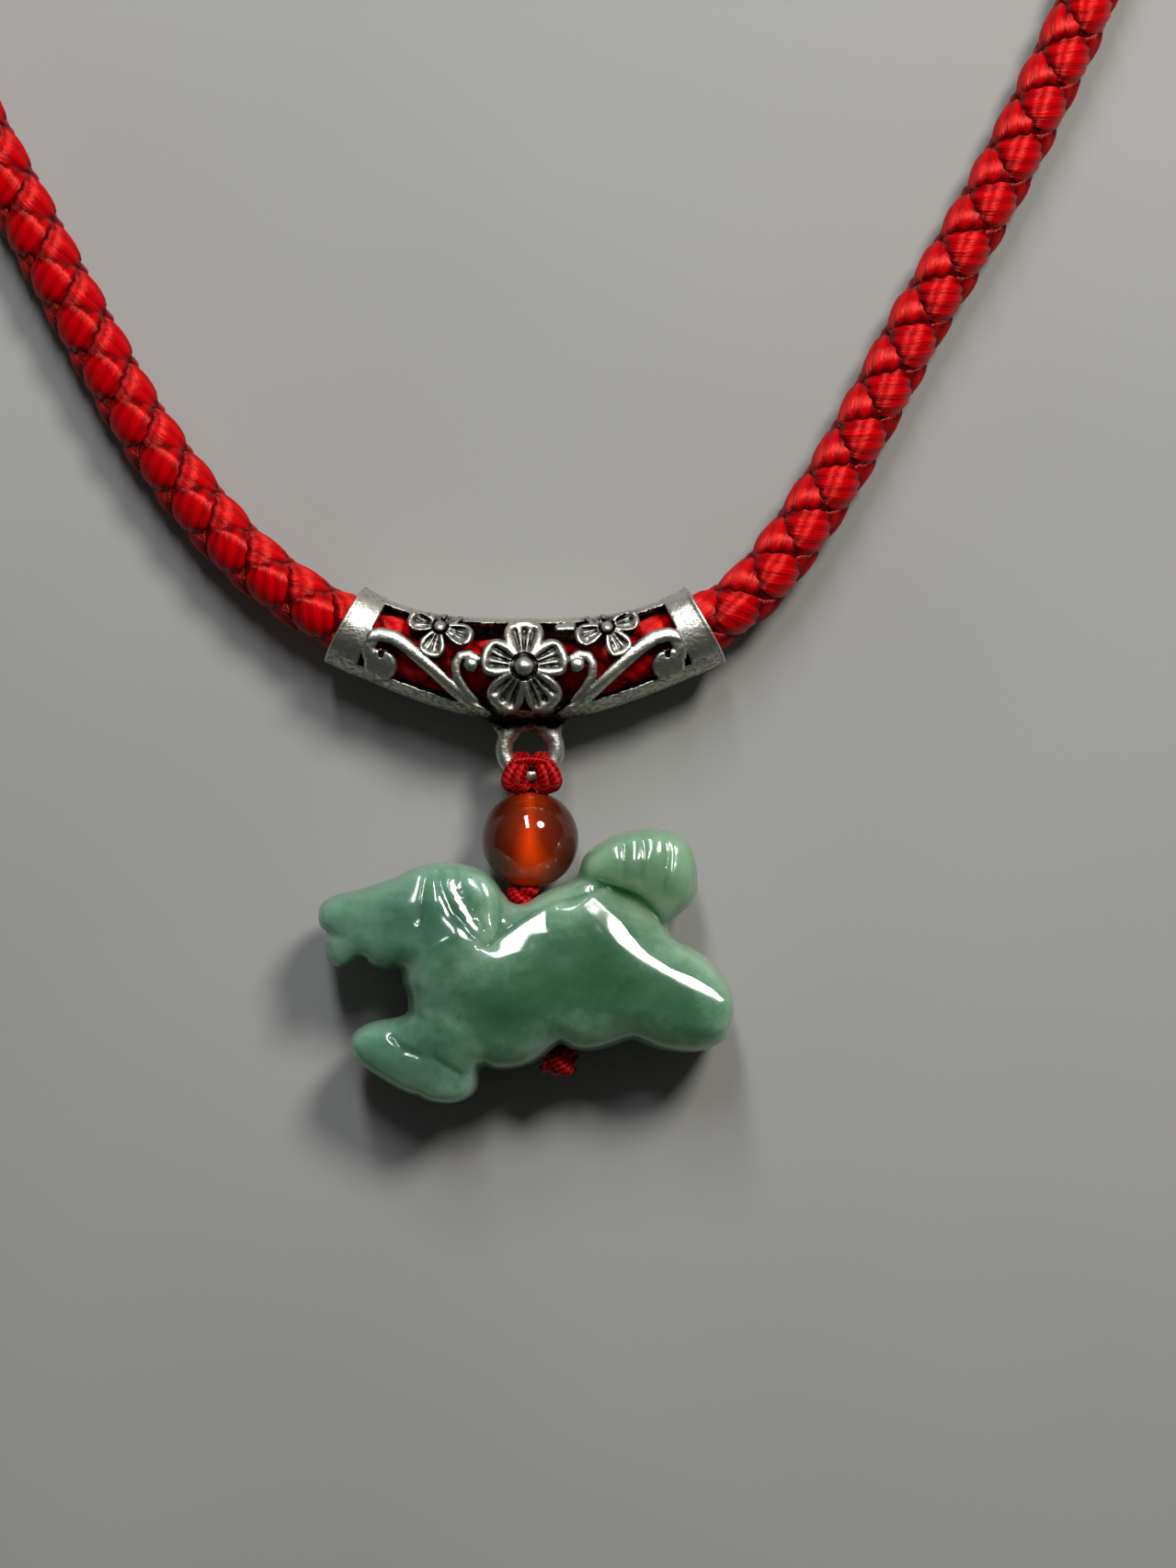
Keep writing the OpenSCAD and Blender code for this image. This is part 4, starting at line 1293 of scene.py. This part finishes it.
def jade_figure(material):
    """The carving as one closed mesh, with its thickness kept for the colour's painted light through thin
    parts.
    """
    step = quick_or(0.19)
    low = np.array([-17.6, -36.2, -0.4])
    high = np.array([18.0, -12.2, 11.4])
    forms = CarvedForms(low[:2] - 0.3, high[:2] + 0.3, quick_or(0.07))
    axes = [np.arange(a, b, step) for a, b in zip(low, high)]
    layers = []
    for x in np.array_split(axes[0], 8):
        grid = np.stack(grid_of(x, axes[1], axes[2]), axis=-1)
        maps = forms.at(*grid_of(x, axes[1]))[:, :, :, None]
        solid = forms.field(axes[2][None, None, :] - JADE_Z, maps)
        layers.append(drilled(solid.ravel(), grid.reshape(-1, 3)).reshape(solid.shape))
    points, quads = surface_of(np.concatenate(layers), low, step)

    def field_at(p):
        return drilled(forms.field(p[:, 2] - JADE_Z, forms.at(p[:, 0], p[:, 1])), p)

    points = settle(points, field_at, step)
    maps = forms.at(points[:, 0], points[:, 1])
    depth = np.max(maps[0:-1:3], axis=0)
    height = np.max(np.where(maps[0:-1:3] > 0, maps[1:-1:3], 0), axis=0)
    thick = np.clip(depth / PAINTED_EDGE_LIGHT_IN, 0, 1) * height / JADE_HALF
    return mesh_piece("jade_figure_carved", points, [quads], material, attribute=("thick", thick))


# Thread

def thread_line(pile, places, r, lay=1.5, flat=1.0, outward=(0, 0, 1), hand=-1):
    """Twisted thread through places."""
    line = smooth_line(places, 0.08)
    laid_strand(pile, line, np.tile(np.array(outward, float), (len(line), 1)), r, r * flat, lay,
                ROWS_PER_PLY, THREAD_SIDES, THREAD_GROOVE, hand)


def hanging_thread(material):
    """Doubled thread: hitched round the ring, squeezed into the bead, knotted under it, through
    the figure and knotted again."""
    pile = Pile()
    x, _, z = RING_AT
    top = BEAD_AT[1] + BEAD_R
    for side in (-1, 1):
        # Turns on each side of the ring's foot, out of the bead and back into it
        for out, r in HITCH_TURNS:
            turn = [(0.18, top - 0.1, 4.5), (0.7 * out, top + 0.32, 4.95), (1.1 * out, -9.3, 5.35),
                    (out, -8.5, 5.48), (0.74 * out, -7.75, 5.2), (0.66 * out, -7.3, 4.25),
                    (0.88 * out, -7.7, 3.2), (0.86 * out, -8.7, 2.98), (0.45 * out, -9.6, 3.2),
                    (0.16, top - 0.3, 3.9)]
            places = [(x + 0.15 + side * a, b, c) for a, b, c in turn]
            thread_line(pile, places, r, lay=1.15, flat=1.15, outward=(0.25 * side, 0, 1), hand=side)
    # The loop's end, which lies across the turns
    bridge = [(-1.55, -8.1, 5.2), (-1.1, -7.62, 5.42), (0.15, -7.45, 5.5), (1.4, -7.62, 5.42),
              (1.85, -8.1, 5.2)]
    thread_line(pile, [(x + a, b, c) for a, b, c in bridge], BRIDGE_R, lay=0.95)
    # Through the bead to the first knot, and through the figure to the second
    for side in (-1, 1):
        in_bead = [(x + side * 0.3, top + 0.3, BEAD_AT[2] + 0.1),
                   (x + side * 0.33, BEAD_AT[1], BEAD_AT[2]),
                   (x + side * 0.3, KNOT_AT[1] + 0.3, KNOT_AT[2])]
        thread_line(pile, in_bead, IN_BEAD_R)
        middle = (np.array(HOLE_TOP) + np.array(HOLE_EXIT)) / 2 + np.array([side * 0.3, 0, 0])
        in_figure = [(KNOT_AT[0] + side * 0.2, KNOT_AT[1], KNOT_AT[2]), HOLE_TOP, tuple(middle),
                     (END_KNOT_AT[0] + side * 0.25, END_KNOT_AT[1] + 0.4, END_KNOT_AT[2])]
        thread_line(pile, in_figure, IN_FIGURE_R)
    for knot in KNOTS:
        overhand_knot(pile, *knot)
    # The cut ends
    x, y, z = END_KNOT_AT
    left_end = [(x, y, z), (x - 1.1, y - 0.35, z + 0.3), (x - 2.1, y - 0.6, z + 0.1)]
    right_end = [(x, y, z), (x + 0.9, y, z + 0.2), (x + 1.5, y - 0.1, z)]
    for places, r in zip((left_end, right_end), CUT_END_R):
        thread_line(pile, places, r, lay=1.1)
    return pile.piece("thread_knotted", material)


def overhand_knot(pile, at, wide, high, r):
    """Tight knot: a thread wound over itself as a trefoil, squashed to a flat lump."""
    t = np.linspace(0, 2 * PI * 0.985, 60)
    swing = 2 + np.cos(3 * t)
    # Its ends stop short of each other, and its loops lie partly in one another
    x = swing * np.cos(2 * t) / 3 * (wide - r * 0.6)
    z = swing * np.sin(2 * t) / 3 * (wide - r * 0.6)
    y = np.sin(3 * t) * (high - r * 0.4)
    places = np.column_stack([x, y, z]) + np.array(at)
    thread_line(pile, [tuple(p) for p in places[::2]], r, lay=0.95, outward=(0.2, 1, 0.1))


# Making the scene

bpy.context.scene.view_settings.view_transform = "Standard"
look_down()

# Each red is given lit, in half painted shade and in full painted shade
CORD_RED = rayon_satin("rayon_satin_braided", "#C20008", "#5A0003", "#160001")
THREAD_RED = rayon_satin("rayon_thread_twisted", "#B8000A", "#8A0007", "#4E0003")
SILVER = antiqued_silver()

cord_line = smooth_line(CORD_POINTS, 0.1)
clasp = barrel_clasp(turned_silver())
braid = braid_pair("cord_strands_right_laid", cord_line, True, CORD_RED)
braid_back = braid_pair("cord_strands_left_laid", cord_line, False, CORD_RED)
openwork = bail(SILVER)
thread = hanging_thread(THREAD_RED)
bead = drilled_bead(carnelian())
figure = jade_figure(green_jade())

PIECES = [
    (braid, "braided_cord", "red_satin_cord"),
    (braid_back, "braided_cord", "red_satin_cord"),
    (clasp, "clasp", "plain_silver"),
    (openwork, "bail_tube", "antiqued_silver"),
    (thread, "hanging_thread", "red_thread"),
    (bead, "carnelian_bead", "carnelian"),
    (figure, "jade_figure", "jade"),
]
for piece, node, slot in PIECES:
    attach(piece, BODY)
    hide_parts(node)

floor = flat_floor(pale_floor())

room_light("#8F9091", "#444644", 0.4)
for settings in LAMPS:
    lamp(*settings)
